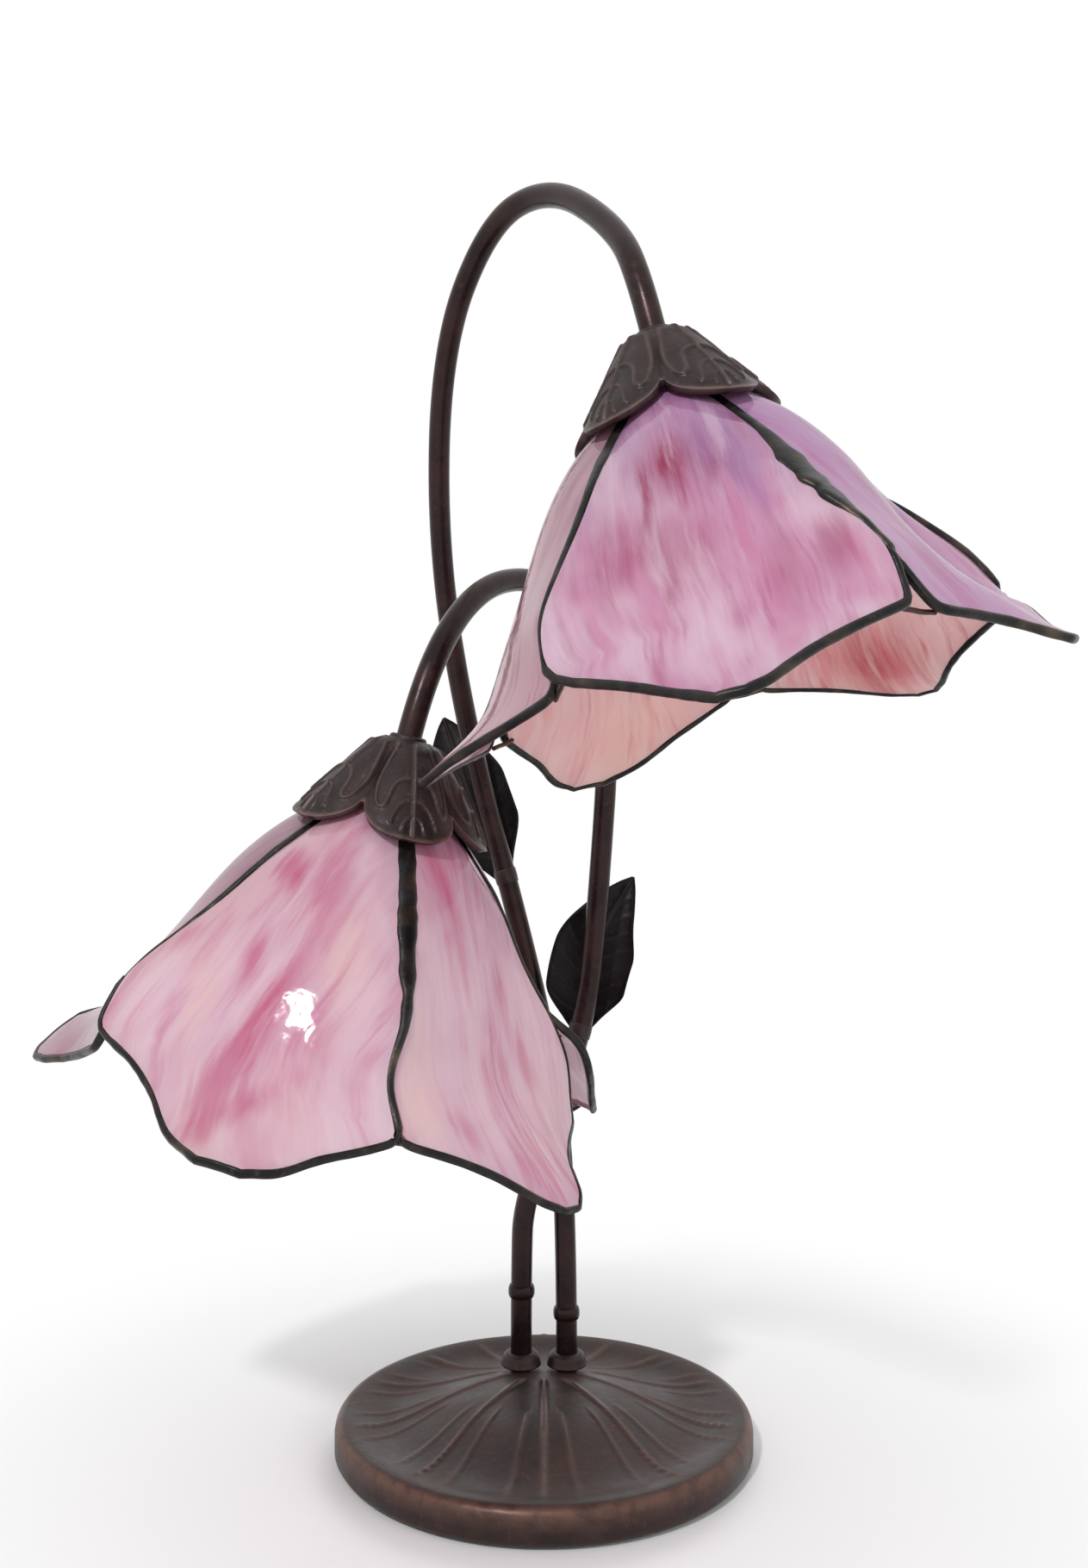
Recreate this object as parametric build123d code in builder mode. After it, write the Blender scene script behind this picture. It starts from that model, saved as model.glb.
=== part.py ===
"""Table lamp: two bell-flower shades of bent glass on crossing stems, over a round leaf base."""
import os
from math import atan2, cos, radians, sin, tan

from build123d import *

os.makedirs("parts", exist_ok=True)

# Sizes in millimetres. The origin is the middle of the base's underside, +Z is up, the front is -Y.

# Stems
stem_diameter = 9.5
stem_wall = 1.1
stem_spacing = 20.5       # between the two feet
stem_setback = 38.0       # of the feet behind the middle of the base
stem_rise = 70.0          # height at which the tall stem starts to lean
short_stem_rise = 66.0    # the same for the short stem
stem_tail = 14.0          # stem below the top of its calyx
tall_lead_in = 15.0       # straight stem above each calyx
short_lead_in = 19.0
bend_share = 0.45         # share of the shorter run that a bend takes up
wire_diameter = 5.8
tall_bends = [(7, 50.5, 136.5), (-12, 57, 219), (-34.5, 56, 299.5), (-48.5, 44.5, 386.5),
              (-45, 19.5, 472), (-22.5, -13.5, 515), (3, -42.5, 517.5), (26.5, -83, 486.5)]
short_bends = [(-9, 37.5, 95.5), (18.5, 38, 171), (24.5, 40, 227.5), (30, 33, 317.5),
               (16, 17, 356.5), (-5.5, -7, 369), (-28.5, -43.5, 357.5)]

# Seats of the shades: middle of the calyx top, lean of the axis per unit of drop, turn of the petals
upper_seat_at = (38.0, -106.3, 442.9)
upper_lean = (0.225, -0.055)
upper_turn = -9.9
lower_seat_at = (-49.9, -75.5, 301.4)
lower_lean = (-0.221, 0.005)
lower_turn = -16.7

# Glass petals, each given by its middle line as radius and drop below the calyx top
petal_count = 5
petal_midline = [(16, 26), (34.5, 39.5), (52.5, 60.5), (67, 87), (80, 109.5), (95, 128), (111.5, 143)]
petal_crown = [(0, 2.5), (0.2, 7.5), (0.35, 8.2), (0.62, 5.0), (0.78, 9.0)]   # share of length, rise
petal_outline = [(0, 1), (0.25, 0.7), (0.5, 0.47), (0.75, 0.3), (0.9, 0.19), (1, 0.05)]
corner_at = 0.78          # share of a petal's length where its free edge starts
split_at = 0.735          # share where neighbouring petals part
widen_at = 0.64           # share where the seam starts to widen
glass_thickness = 3.0
seam_gap = 2.3            # from a glass edge to the middle of its seam
notch_gap = 6.0           # the same at the petal's corner
widen_power = 1.6         # how late the gap opens towards the corner
crown_power = 1.6         # how fast a petal flattens towards its tip
upper_tip_bends = [(0, 0), (0, 0), (0, 0), (9, -6), (0, 3.5)]   # sideways and outwards, petal by petal
lower_tip_bends = [(15.5, 0), (3, -1), (-9, 16.5), (0, 0), (0, -3.5)]
tip_bend_power = 1.5      # how late a petal bends towards its tip
seam_end = 0.729          # share where the seam stops, just short of the split
seam_stations = 14
split_stations = 3

# Solder lines
bead_clearance = 0.55     # from the glass edge
bead_proud = 0.9          # above and below the glass
rim_width = 3.2
tie_diameter = 1.8

# Calyx, crown and neck
calyx_wall = 2.2
calyx_profile = [(8, 2.5), (13, 8), (17.5, 13.2), (24.2, 21.5), (29.5, 28.5), (33.5, 34), (36.5, 38.5)]
lobe_notch_drop = 29.3
lobe_half_width = 18.0
neck_collar_radius = 6.6
neck_collar_height = 2.4
neck_collar_chamfer = 0.6
crown_radius = 14.1       # just inside the upper ends of the glass
crown_top_radius = 8.6
crown_top_drop = 7.0
crown_wall = 1.2
crown_shoulder_drop = 13.0
crown_drop = 30.0
lock_nut_across = 12.5
lock_nut_height = 3.5

# Socket and bulb
socket_radius = 10.5
socket_length = 30.0
socket_wall = 2.3
socket_web = 2.6          # floor between the stem and the bulb's contact
contact_radius = 4.0
contact_height = 1.2
shell_wall = 1.7
bulb_cap_radius = 6.0
bulb_cap_length = 19.5
bulb_cap_lip = 1.0
bulb_eyelet_radius = 2.4
bulb_eyelet_height = 2.4
bulb_radius = 17.5
bulb_length = 76.0
bulb_neck_radius = 5.5
bulb_neck_length = 3.5
bulb_wall = 1.0
bulb_widest_at = 0.4      # share of the bulb's length
bulb_shoulder_slope = 0.6
bulb_tip_slope = 0.5

# Leaves: middle line from the clip as steps across, back and up, and half widths along it
leaf_thickness = 1.8
leaf_crown = 3.5
leaf_outline = [(0, 2.2), (0.1, 7.8), (0.32, 18), (0.55, 18.5), (0.8, 11), (0.94, 4.5), (1, 0.8)]
upper_leaf_steps = [(-1, 0.3, 0), (-13, 4, 28), (-23, 6.5, 53), (-31, 11, 77)]
lower_leaf_steps = [(1, 0.3, 0), (3.5, 4, 22), (11, 6.5, 46), (26, 11, 71)]
upper_clip_at = 232.0     # along the tall stem from its foot
lower_clip_at = 165.0     # along the short stem
clip_wall = 1.8
clip_slip = 0.3           # the stem bends a little inside its clip
clip_length = 7.0

# Rings low on the stems
ring_wall = 1.2
ring_length = 6.0
tall_ring_at = 34.0
short_ring_at = 44.0

# Base
base_radius = 88.0
rim_height = 16.0
rim_round = 5.0
rim_width_flat = 16.0     # from the edge to the dip inside the rim
rim_dip = 2.5
dome_height = 21.0
pad_wall = 4.5
foot_chamfer = 2.0
plate_inset = 8.0         # of the bottom plate from the base's edge
plate_ledge = 5.0         # that the plate lies against
plate_thickness = 1.5
felt_inset = 6.0
felt_thickness = 1.5
plate_clearance = 0.2
weight_inset = 17.0       # from the cavity's wall
wire_room = 7.65          # from the ballast to the cavity's top
stem_boss_width = 19.0
stem_boss_dip = 0.5       # of the boss below the dome's top
stem_boss_bottom = 11.0
stem_bottom = 6.0
foot_collar_wall = 3.2
foot_collar_height = 5.5
foot_collar_chamfer = 1.5
stem_nut_across = 15.0
stem_nut_height = 4.0
screw_count = 3
screw_inset = 7.0         # from the cavity's wall
screw_boss_radius = 5.0
screw_boss_top = 12.0
screw_head_radius = 3.4
screw_head_height = 0.9
screw_radius = 1.9
screw_length = 7.5
inlet_height = 8.4
bushing_radius = 4.0
bushing_bore_radius = 3.1
bushing_flange_radius = 6.0
bushing_flange = 1.5
wire_cap_radius = 2.6
wire_cap_tip_radius = 1.8
wire_cap_length = 16.0
wire_cap_spacing = 20.0

# Clearances
slip = 0.1                # round things that sit in a hole
seat_slip = 0.05          # faces that sit on each other
bulb_slip = 0.3           # round the bulb, which comes out

half_pitch = radians(180 / petal_count)
leaf_half_width = max(width for _, width in leaf_outline)
stem_radius = stem_diameter / 2
stem_hole = stem_radius + slip
bead_depth = glass_thickness + 2 * bead_proud
plate_radius = base_radius - plate_inset
cavity_radius = plate_radius - plate_ledge
felt_radius = base_radius - felt_inset
weight_radius = cavity_radius - weight_inset
screw_circle = cavity_radius - screw_inset
plate_top = felt_thickness + plate_thickness
weight_height = dome_height - pad_wall - plate_top - seat_slip - wire_room
stem_boss_top = dome_height - stem_boss_dip
seam_normal = Vector(-sin(half_pitch), cos(half_pitch), 0)


def save(builder, name):
    """Label a finished piece and write its file."""
    builder.part.label = name
    export_step(builder.part, f"parts/{name}.step")


def lookup(table, share):
    """Value of a short table at a share, eased from row to row."""
    for (start, low), (end, high) in zip(table, table[1:]):
        if share <= end:
            step = max(0, share - start) / (end - start)
            return low + (high - low) * step * step * (3 - 2 * step)
    return table[-1][1]


def turned(plane, angle):
    """Plane turned about its own Z."""
    return Plane(plane.location * Rotation(0, 0, angle))


def seat_plane(at, lean, turn):
    """Plane on top of a calyx, with Z up the stem and X along the first petal."""
    return turned(Plane(origin=at, x_dir=(0, -1, 0), z_dir=(-lean[0], -lean[1], 1)), turn)


def bend_radii(route):
    """Radius of the bend at each inner point of a route."""
    radii = []
    for before, here, after in zip(route, route[1:], route[2:]):
        run_in = Vector(here) - Vector(before)
        run_out = Vector(after) - Vector(here)
        turn = radians(run_in.get_angle(run_out))
        radii.append(bend_share * min(run_in.length, run_out.length) / tan(turn / 2))
    return radii


def stem_route(side, rise, bends, seat, lead_in):
    """Middle line of a stem, from its foot to its end inside the calyx."""
    foot = (side * stem_spacing / 2, stem_setback)
    start, end = seat.origin + seat.z_dir * lead_in, seat.origin - seat.z_dir * stem_tail
    route = [(*foot, stem_bottom), (*foot, rise), *bends, start, end]
    with BuildLine() as line:
        FilletPolyline(*route, radius=bend_radii(route))
    return line.wire()


def crescent(plane, half_width, crown, thickness, bevel=0):
    """Section across a petal or a leaf: two arcs a thickness apart, the inner one shorter by a bevel."""
    inner_width = half_width - bevel
    with BuildSketch(plane) as section:
        with BuildLine():
            top = ThreePointArc((-half_width, -crown), (0, 0), (half_width, -crown))
            side = Line(top @ 1, (inner_width, -crown - thickness))
            under = ThreePointArc(side @ 1, (0, -thickness), (-inner_width, -crown - thickness))
            Line(under @ 1, top @ 0)
        make_face()
    return section.sketch


def bar(point, across, along, width, depth, shift=0):
    """Section of a solder line, square to the way it runs."""
    with BuildSketch(Plane(origin=point, x_dir=across, z_dir=along)) as section:
        with Locations((shift, 0)):
            Rectangle(width, depth)
    return section.sketch


def directions(points):
    """Way a row of points runs at each of them."""
    before = [points[0], *points[:-1]]
    after = [*points[1:], points[-1]]
    return [(b - a).normalized() for a, b in zip(before, after)]


def tube(plane, outer, inner, length):
    """Plain ring that stands on a plane."""
    with BuildPart() as ring:
        with BuildSketch(plane):
            Circle(outer)
            Circle(inner, mode=Mode.SUBTRACT)
        extrude(amount=length)
    return ring


# Petal, on the shade's own axis with the calyx top at the origin
with BuildLine(Plane.XZ) as midline:
    Spline(*[(radius, -drop) for radius, drop in petal_midline])


def edge_gap(share):
    """Distance from a glass edge to the middle of its seam."""
    step = max(0, share - widen_at) / (corner_at - widen_at)
    return seam_gap + (notch_gap - seam_gap) * step ** widen_power


def petal_station(share, bend=(0, 0)):
    """Plane across the petal, with its half width, crown, thickness and edge bevel there."""
    plane = Plane(origin=midline.line @ share, x_dir=(0, 1, 0), z_dir=midline.line % share)
    late = (max(0, share - corner_at) / (1 - corner_at)) ** tip_bend_power
    plane.origin += plane.x_dir * bend[0] * late + plane.y_dir * bend[1] * late
    joined = min(share, corner_at)
    base = Plane(origin=midline.line @ joined, x_dir=(0, 1, 0), z_dir=midline.line % joined)
    crown = lookup(petal_crown, joined)
    reach = base.origin.X - crown * base.y_dir.X
    half_width = reach * tan(half_pitch) - edge_gap(joined) / cos(half_pitch)
    free = lookup(petal_outline, max(0, share - corner_at) / (1 - corner_at))
    bevel = glass_thickness * base.y_dir.X * tan(half_pitch)
    return plane, half_width * free, crown * free ** crown_power, glass_thickness, bevel * free


def petal_edge(share, side, bend=(0, 0)):
    """Middle of the glass edge, and the way its face looks there."""
    plane, half_width, crown, thickness, bevel = petal_station(share, bend)
    tilt = atan2(2 * crown, half_width)
    across = plane.x_dir * side * (half_width - bevel / 2)
    point = plane.origin + across - plane.y_dir * (crown + thickness / 2)
    return point, plane.y_dir * cos(tilt) + plane.x_dir * side * sin(tilt)


seam_shares = [corner_at * n / seam_stations for n in range(seam_stations + 1)]
free_shares = [corner_at + (1 - corner_at) * share for share, _ in petal_outline]


def bent_petal(bend):
    """Glass petal whose tip is bent sideways and outwards."""
    with BuildPart() as petal:
        loft([crescent(*petal_station(s, bend)) for s in seam_shares + free_shares[1:]], ruled=True)
    return petal


# Solder seam beside the petal, up to where the petals part
seam_run = [split_at * n / seam_stations for n in range(seam_stations)] + [seam_end]
seam_points = [petal_edge(s, 1)[0] + seam_normal * edge_gap(s) for s in seam_run]
with BuildPart() as seam:
    loft([bar(point, seam_normal, along, 2 * (edge_gap(s) - bead_clearance), bead_depth)
          for s, point, along in zip(seam_run, seam_points, directions(seam_points))], ruled=True)

# Solder rim round the petal's free edge
split_run = [split_at + (corner_at - split_at) * n / split_stations for n in range(split_stations)]
rim_shares = split_run + free_shares


def bent_rim(bend):
    """Rim of a petal whose tip is bent."""
    edges = [petal_edge(s, 1, bend) for s in rim_shares]
    edges += [petal_edge(s, -1, bend) for s in reversed(rim_shares)]
    ways = directions([point for point, _ in edges])
    with BuildPart() as rim:
        loft([bar(point, face.cross(way), way, rim_width, bead_depth, bead_clearance + rim_width / 2)
              for (point, face), way in zip(edges, ways)], ruled=True)
    return rim


# Tie wire across the notch, under the two rims
corner_point, corner_face = petal_edge(corner_at, 1)
tie_face = (corner_face - seam_normal * corner_face.dot(seam_normal)).normalized()
tie_middle = corner_point + seam_normal * notch_gap - tie_face * (bead_depth + tie_diameter + slip) / 2
with BuildPart() as tie:
    with BuildSketch(Plane(origin=tie_middle, z_dir=seam_normal)):
        Circle(tie_diameter / 2)
    extrude(amount=notch_gap, both=True)

# Calyx: a flared cup cut into lobes, one over each seam
outer_points = [(radius, -drop) for radius, drop in calyx_profile]
inner_points = [(radius - calyx_wall, -drop) for radius, drop in calyx_profile[1:]]
lobe_length = calyx_profile[-1][1] - lobe_notch_drop
neck_radius, neck_drop = calyx_profile[0]
with BuildPart() as lobes:
    with BuildSketch(Plane.XY.offset(-lobe_notch_drop)):
        Circle(2 * calyx_profile[-1][0])
    extrude(amount=lobe_notch_drop)
    for number in range(petal_count):
        angle = half_pitch + 2 * half_pitch * number
        across = (-sin(angle), cos(angle), 0)
        outward = (cos(angle), sin(angle), 0)
        with BuildSketch(Plane(origin=(0, 0, -lobe_notch_drop), x_dir=across, z_dir=outward)):
            Ellipse(lobe_half_width, lobe_length)
        extrude(amount=2 * calyx_profile[-1][0])
with BuildPart() as calyx:
    with BuildSketch(Plane.XZ):
        with BuildLine():
            Line((stem_hole, -neck_drop), outer_points[0])
            flank = Spline(*outer_points)
            Line(flank @ 1, inner_points[-1])
            inside = Spline(*reversed(inner_points), (neck_radius - calyx_wall, -neck_drop - calyx_wall))
            Polyline(inside @ 1, (stem_hole, -neck_drop - calyx_wall), (stem_hole, -neck_drop))
        make_face()
    revolve(axis=Axis.Z)
    add(lobes.part, mode=Mode.INTERSECT)

# Neck collar, crown cap and lock nut on the stem's end
with BuildPart() as neck_collar:
    with BuildSketch(Plane.XY.offset(seat_slip - neck_drop)):
        Circle(neck_collar_radius)
        Circle(stem_hole, mode=Mode.SUBTRACT)
    extrude(amount=neck_collar_height)
    neck_edge = neck_collar.edges().group_by(Axis.Z)[-1].sort_by(SortBy.RADIUS)[-1]
    chamfer(neck_edge, neck_collar_chamfer)
with BuildPart() as crown_cap:
    with BuildSketch(Plane.XZ):
        with BuildLine():
            Polyline((stem_hole, -crown_top_drop), (crown_top_radius, -crown_top_drop),
                     (crown_radius, -crown_shoulder_drop), (crown_radius, -crown_drop),
                     (crown_radius - crown_wall, -crown_drop),
                     (crown_radius - crown_wall, -crown_shoulder_drop),
                     (crown_top_radius - crown_wall, -crown_top_drop - crown_wall),
                     (stem_hole, -crown_top_drop - crown_wall), close=True)
        make_face()
    revolve(axis=Axis.Z)
lock_nut_top = crown_top_drop + crown_wall + seat_slip
with BuildPart() as lock_nut:
    with BuildSketch(Plane.XY.offset(-lock_nut_top - lock_nut_height)):
        RegularPolygon(lock_nut_across / 2, 6, major_radius=False)
        Circle(stem_hole, mode=Mode.SUBTRACT)
    extrude(amount=lock_nut_height)

# Socket: a moulded body on the stem's end, a threaded shell and a contact
socket_top = lock_nut_top + lock_nut_height + seat_slip
socket_floor = stem_tail + slip + socket_web
socket_end = socket_top + socket_length
socket_bore = socket_radius - socket_wall
with BuildPart() as socket_body:
    with BuildSketch(Plane.XY.offset(-socket_end)):
        Circle(socket_radius)
    extrude(amount=socket_length)
    fillet(socket_body.edges().group_by(Axis.Z)[-1], socket_wall / 2)
    with BuildSketch(Plane.XY.offset(-socket_end)):
        Circle(socket_bore)
    extrude(amount=socket_end - socket_floor, mode=Mode.SUBTRACT)
    with BuildSketch(Plane.XY.offset(-stem_tail - slip)):
        Circle(stem_hole)
    extrude(amount=stem_tail + slip, mode=Mode.SUBTRACT)
with BuildPart() as socket_contact:
    with BuildSketch(Plane.XY.offset(-socket_floor - seat_slip)):
        Circle(contact_radius)
    extrude(amount=-contact_height)
bulb_top = socket_floor + seat_slip + contact_height + bulb_slip
shell_top = socket_floor + seat_slip
shell_length = socket_end - shell_top
screw_shell = tube(Plane.XY.offset(-socket_end), bulb_cap_radius + bulb_slip + shell_wall,
                   bulb_cap_radius + bulb_slip, shell_length)

# Bulb: a screw cap and a hollow glass envelope
cap_end = bulb_top + bulb_eyelet_height + bulb_cap_length
with BuildPart() as bulb_cap:
    with BuildSketch(Plane.XZ):
        with BuildLine():
            Polyline((0, -bulb_top), (bulb_eyelet_radius, -bulb_top),
                     (bulb_cap_radius - bulb_cap_lip, -bulb_top - bulb_eyelet_height),
                     (bulb_cap_radius, -bulb_top - bulb_eyelet_height - bulb_cap_lip),
                     (bulb_cap_radius, -cap_end), (0, -cap_end), close=True)
        make_face()
    revolve(axis=Axis.Z)
glass_top = cap_end + seat_slip
neck_end = glass_top + bulb_neck_length
bulb_end = neck_end + bulb_length
bulb_waist = neck_end + bulb_length * bulb_widest_at
with BuildPart() as bulb_glass:
    with BuildSketch(Plane.XZ):
        with BuildLine():
            neck = Line((bulb_neck_radius, -glass_top), (bulb_neck_radius, -neck_end))
            body = Spline(neck @ 1, (bulb_radius, -bulb_waist), (0, -bulb_end),
                          tangents=((bulb_shoulder_slope, -1), (-1, -bulb_tip_slope)))
            tip = Line(body @ 1, (0, -bulb_end + bulb_wall))
            inner = Spline(tip @ 1, (bulb_radius - bulb_wall, -bulb_waist),
                           (bulb_neck_radius - bulb_wall, -neck_end),
                           tangents=((1, bulb_tip_slope), (-bulb_shoulder_slope, 1)))
            Polyline(inner @ 1, (bulb_neck_radius - bulb_wall, -glass_top), neck @ 0)
        make_face()
    revolve(axis=Axis.Z)


def place(piece, seat, name):
    """Put a copy of a shade's piece on a seat and write it."""
    with BuildPart() as placed:
        with Locations(seat):
            add(piece.part)
    save(placed, name)


def place_ring(piece, seat, name):
    """Put one copy of a piece for each petal round a seat, in one node."""
    with BuildPart() as placed:
        with Locations(seat):
            with PolarLocations(0, petal_count):
                add(piece.part)
    save(placed, name)


shade_pieces = {"neck_collar": neck_collar, "calyx": calyx, "crown_cap": crown_cap, "lock_nut": lock_nut,
                "socket_body": socket_body, "socket_contact": socket_contact, "screw_shell": screw_shell,
                "bulb_cap": bulb_cap, "bulb_glass": bulb_glass}
upper_seat = seat_plane(upper_seat_at, upper_lean, upper_turn)
lower_seat = seat_plane(lower_seat_at, lower_lean, lower_turn)
for light, seat, bends in (("upper", upper_seat, upper_tip_bends), ("lower", lower_seat, lower_tip_bends)):
    for name, piece in shade_pieces.items():
        place(piece, seat, f"{light}_{name}")
    place_ring(seam, seat, f"{light}_seams")
    place_ring(tie, seat, f"{light}_ties")
    petal_seats = [turned(seat, number * 360 / petal_count) for number in range(petal_count)]
    with BuildPart() as rims:
        for petal_seat, bend in zip(petal_seats, bends):
            with Locations(petal_seat):
                add(bent_rim(bend).part)
    save(rims, f"{light}_rims")
    for number, (petal_seat, bend) in enumerate(zip(petal_seats, bends), 1):
        place(bent_petal(bend), petal_seat, f"{light}_petal_{number}")

# Stems with the wires inside them
tall_line = stem_route(1, stem_rise, tall_bends, upper_seat, tall_lead_in)
short_line = stem_route(-1, short_stem_rise, short_bends, lower_seat, short_lead_in)
for name, line in (("tall", tall_line), ("short", short_line)):
    foot = Plane(origin=line @ 0, z_dir=line % 0)
    with BuildPart() as stem:
        with BuildSketch(foot):
            Circle(stem_radius)
            Circle(stem_radius - stem_wall, mode=Mode.SUBTRACT)
        sweep(path=line)
    save(stem, f"{name}_stem")
    with BuildPart() as wire:
        with BuildSketch(foot):
            Circle(wire_diameter / 2)
        sweep(path=line)
    save(wire, f"{name}_wire")


def stem_plane(line, distance):
    """Plane square to a stem, a distance along it from its foot."""
    share = distance / line.length
    return Plane(origin=line @ share, x_dir=(1, 0, 0), z_dir=line % share)


# Rings and leaf clips on the stems
for name, line, distance in (("tall", tall_line, tall_ring_at), ("short", short_line, short_ring_at)):
    ring_plane = stem_plane(line, distance)
    save(tube(ring_plane, stem_radius + ring_wall, stem_hole, ring_length), f"{name}_stem_ring")
for name, line, distance, steps in (("upper", tall_line, upper_clip_at, upper_leaf_steps),
                                    ("lower", short_line, lower_clip_at, lower_leaf_steps)):
    clip_plane = stem_plane(line, distance)
    save(tube(clip_plane, stem_radius + clip_wall, stem_radius + clip_slip, clip_length), f"{name}_leaf_clip")
    back = clip_plane.y_dir * (stem_radius + clip_wall + leaf_thickness)
    with BuildLine() as vein:
        Spline(*[clip_plane.origin + back + Vector(step) for step in steps])
    with BuildPart() as leaf:
        loft([crescent(Plane(origin=vein.line @ share, x_dir=(1, 0, 0), z_dir=vein.line % share), half_width,
                       leaf_crown * half_width / leaf_half_width, leaf_thickness)
              for share, half_width in leaf_outline], ruled=True)
    save(leaf, f"{name}_leaf")

# Base: a hollow domed casting with a boss for the stems
dip_radius = base_radius - rim_width_flat
stem_feet = [(-stem_spacing / 2, stem_setback), (stem_spacing / 2, stem_setback)]
inlet_plane = Plane(origin=(0, base_radius, inlet_height), x_dir=(1, 0, 0), z_dir=(0, 1, 0))
with BuildPart() as base_pad:
    with BuildSketch(Plane.XZ):
        with BuildLine():
            top = Spline((0, dome_height), (dip_radius / 2, dome_height - rim_dip),
                         (dip_radius, rim_height - rim_dip), (base_radius - rim_round, rim_height),
                         tangents=((1, 0), (1, 0)))
            TangentArc(top @ 1, (base_radius, rim_height - rim_round), tangent=(1, 0))
            Polyline((base_radius, rim_height - rim_round), (base_radius, felt_thickness + foot_chamfer),
                     (base_radius - foot_chamfer, felt_thickness),
                     (plate_radius + plate_clearance, felt_thickness),
                     (plate_radius + plate_clearance, plate_top), (cavity_radius, plate_top),
                     (cavity_radius, rim_height - rim_dip - pad_wall), (0, dome_height - pad_wall), top @ 0)
        make_face()
    revolve(axis=Axis.Z)
    with BuildSketch(Plane.XY.offset(stem_boss_bottom)):
        with Locations((0, stem_setback)):
            SlotCenterToCenter(stem_spacing, stem_boss_width)
    extrude(amount=stem_boss_top - stem_boss_bottom)
    with BuildSketch(Plane.XY.offset(plate_top + seat_slip)):
        with PolarLocations(screw_circle, screw_count, start_angle=-90):
            Circle(screw_boss_radius)
    extrude(amount=screw_boss_top - plate_top - seat_slip)
    with BuildSketch(Plane.XY.offset(stem_boss_bottom)):
        with Locations(*stem_feet):
            Circle(stem_hole)
    extrude(amount=stem_boss_top - stem_boss_bottom, mode=Mode.SUBTRACT)
    with BuildSketch(Plane.XY.offset(plate_top + seat_slip)):
        with PolarLocations(screw_circle, screw_count, start_angle=-90):
            Circle(screw_radius + slip)
    extrude(amount=screw_length, mode=Mode.SUBTRACT)
    with BuildSketch(inlet_plane):
        Circle(bushing_radius + slip)
    extrude(amount=-(base_radius - cavity_radius + slip), mode=Mode.SUBTRACT)
save(base_pad, "base_pad")

# Under the base: plate, screws, felt and ballast
with BuildPart() as base_plate:
    with BuildSketch(Plane.XY.offset(felt_thickness)):
        Circle(plate_radius)
        with PolarLocations(screw_circle, screw_count, start_angle=-90):
            Circle(screw_radius + slip, mode=Mode.SUBTRACT)
    extrude(amount=plate_thickness)
    with BuildSketch(Plane.XY.offset(felt_thickness)):
        with PolarLocations(screw_circle, screw_count, start_angle=-90):
            Circle(screw_head_radius + slip)
    extrude(amount=screw_head_height + seat_slip, mode=Mode.SUBTRACT)
save(base_plate, "base_plate")
with BuildPart() as plate_screws:
    with BuildSketch(Plane.XY.offset(felt_thickness + seat_slip)):
        with PolarLocations(screw_circle, screw_count, start_angle=-90):
            Circle(screw_head_radius)
    extrude(amount=screw_head_height - seat_slip)
    with BuildSketch(Plane.XY.offset(felt_thickness + screw_head_height)):
        with PolarLocations(screw_circle, screw_count, start_angle=-90):
            Circle(screw_radius)
    extrude(amount=screw_length)
save(plate_screws, "plate_screws")
with BuildPart() as base_felt:
    with BuildSketch(Plane.XY):
        Circle(felt_radius)
    extrude(amount=felt_thickness)
save(base_felt, "base_felt")
nut_corner = stem_nut_across / 2 / cos(radians(30))
with BuildPart() as base_weight:
    with BuildSketch(Plane.XY.offset(plate_top + seat_slip)):
        Circle(weight_radius)
        with Locations(*stem_feet):
            Circle(nut_corner + bulb_slip, mode=Mode.SUBTRACT)
    extrude(amount=weight_height)
save(base_weight, "base_weight")

# Stem feet: a collar on top of the base and a nut under it
with BuildPart() as stem_nuts:
    with BuildSketch(Plane.XY.offset(stem_boss_bottom - seat_slip)):
        with Locations(*stem_feet):
            RegularPolygon(stem_nut_across / 2, 6, major_radius=False)
            Circle(stem_hole, mode=Mode.SUBTRACT)
    extrude(amount=-stem_nut_height)
save(stem_nuts, "stem_nuts")
for name, foot in zip(("short", "tall"), stem_feet):
    with BuildPart() as foot_collar:
        with BuildSketch(Plane.XY.offset(stem_boss_top + seat_slip)):
            with Locations(foot):
                Circle(stem_radius + foot_collar_wall)
                Circle(stem_hole, mode=Mode.SUBTRACT)
        extrude(amount=foot_collar_height)
        rim_edge = foot_collar.edges().group_by(Axis.Z)[-1].sort_by(SortBy.RADIUS)[-1]
        chamfer(rim_edge, foot_collar_chamfer)
    save(foot_collar, f"{name}_foot_collar")

# Inlet bushing for the cord, and the caps on the wire joints
with BuildPart() as cord_bushing:
    with BuildSketch(inlet_plane):
        Circle(bushing_flange_radius)
    extrude(amount=bushing_flange)
    with BuildSketch(inlet_plane):
        Circle(bushing_radius)
    extrude(amount=-(base_radius - cavity_radius))
    with BuildSketch(inlet_plane.offset(bushing_flange)):
        Circle(bushing_bore_radius)
    extrude(amount=-(base_radius - cavity_radius + bushing_flange), mode=Mode.SUBTRACT)
save(cord_bushing, "cord_bushing")
cap_height = plate_top + seat_slip + weight_height + wire_cap_radius + slip
with BuildPart() as wire_caps:
    for side in (-1, 1):
        cap_plane = Plane(origin=(side * wire_cap_spacing / 2, 0, cap_height), z_dir=(0, -1, 0))
        with BuildSketch(cap_plane):
            Circle(wire_cap_radius)
        with BuildSketch(cap_plane.offset(wire_cap_length)):
            Circle(wire_cap_tip_radius)
        loft()
save(wire_caps, "wire_caps")
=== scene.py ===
"""Looks of the flower-shade table lamp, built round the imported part."""
import math

import bmesh
import bpy
import numpy as np
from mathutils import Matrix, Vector, noise

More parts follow.
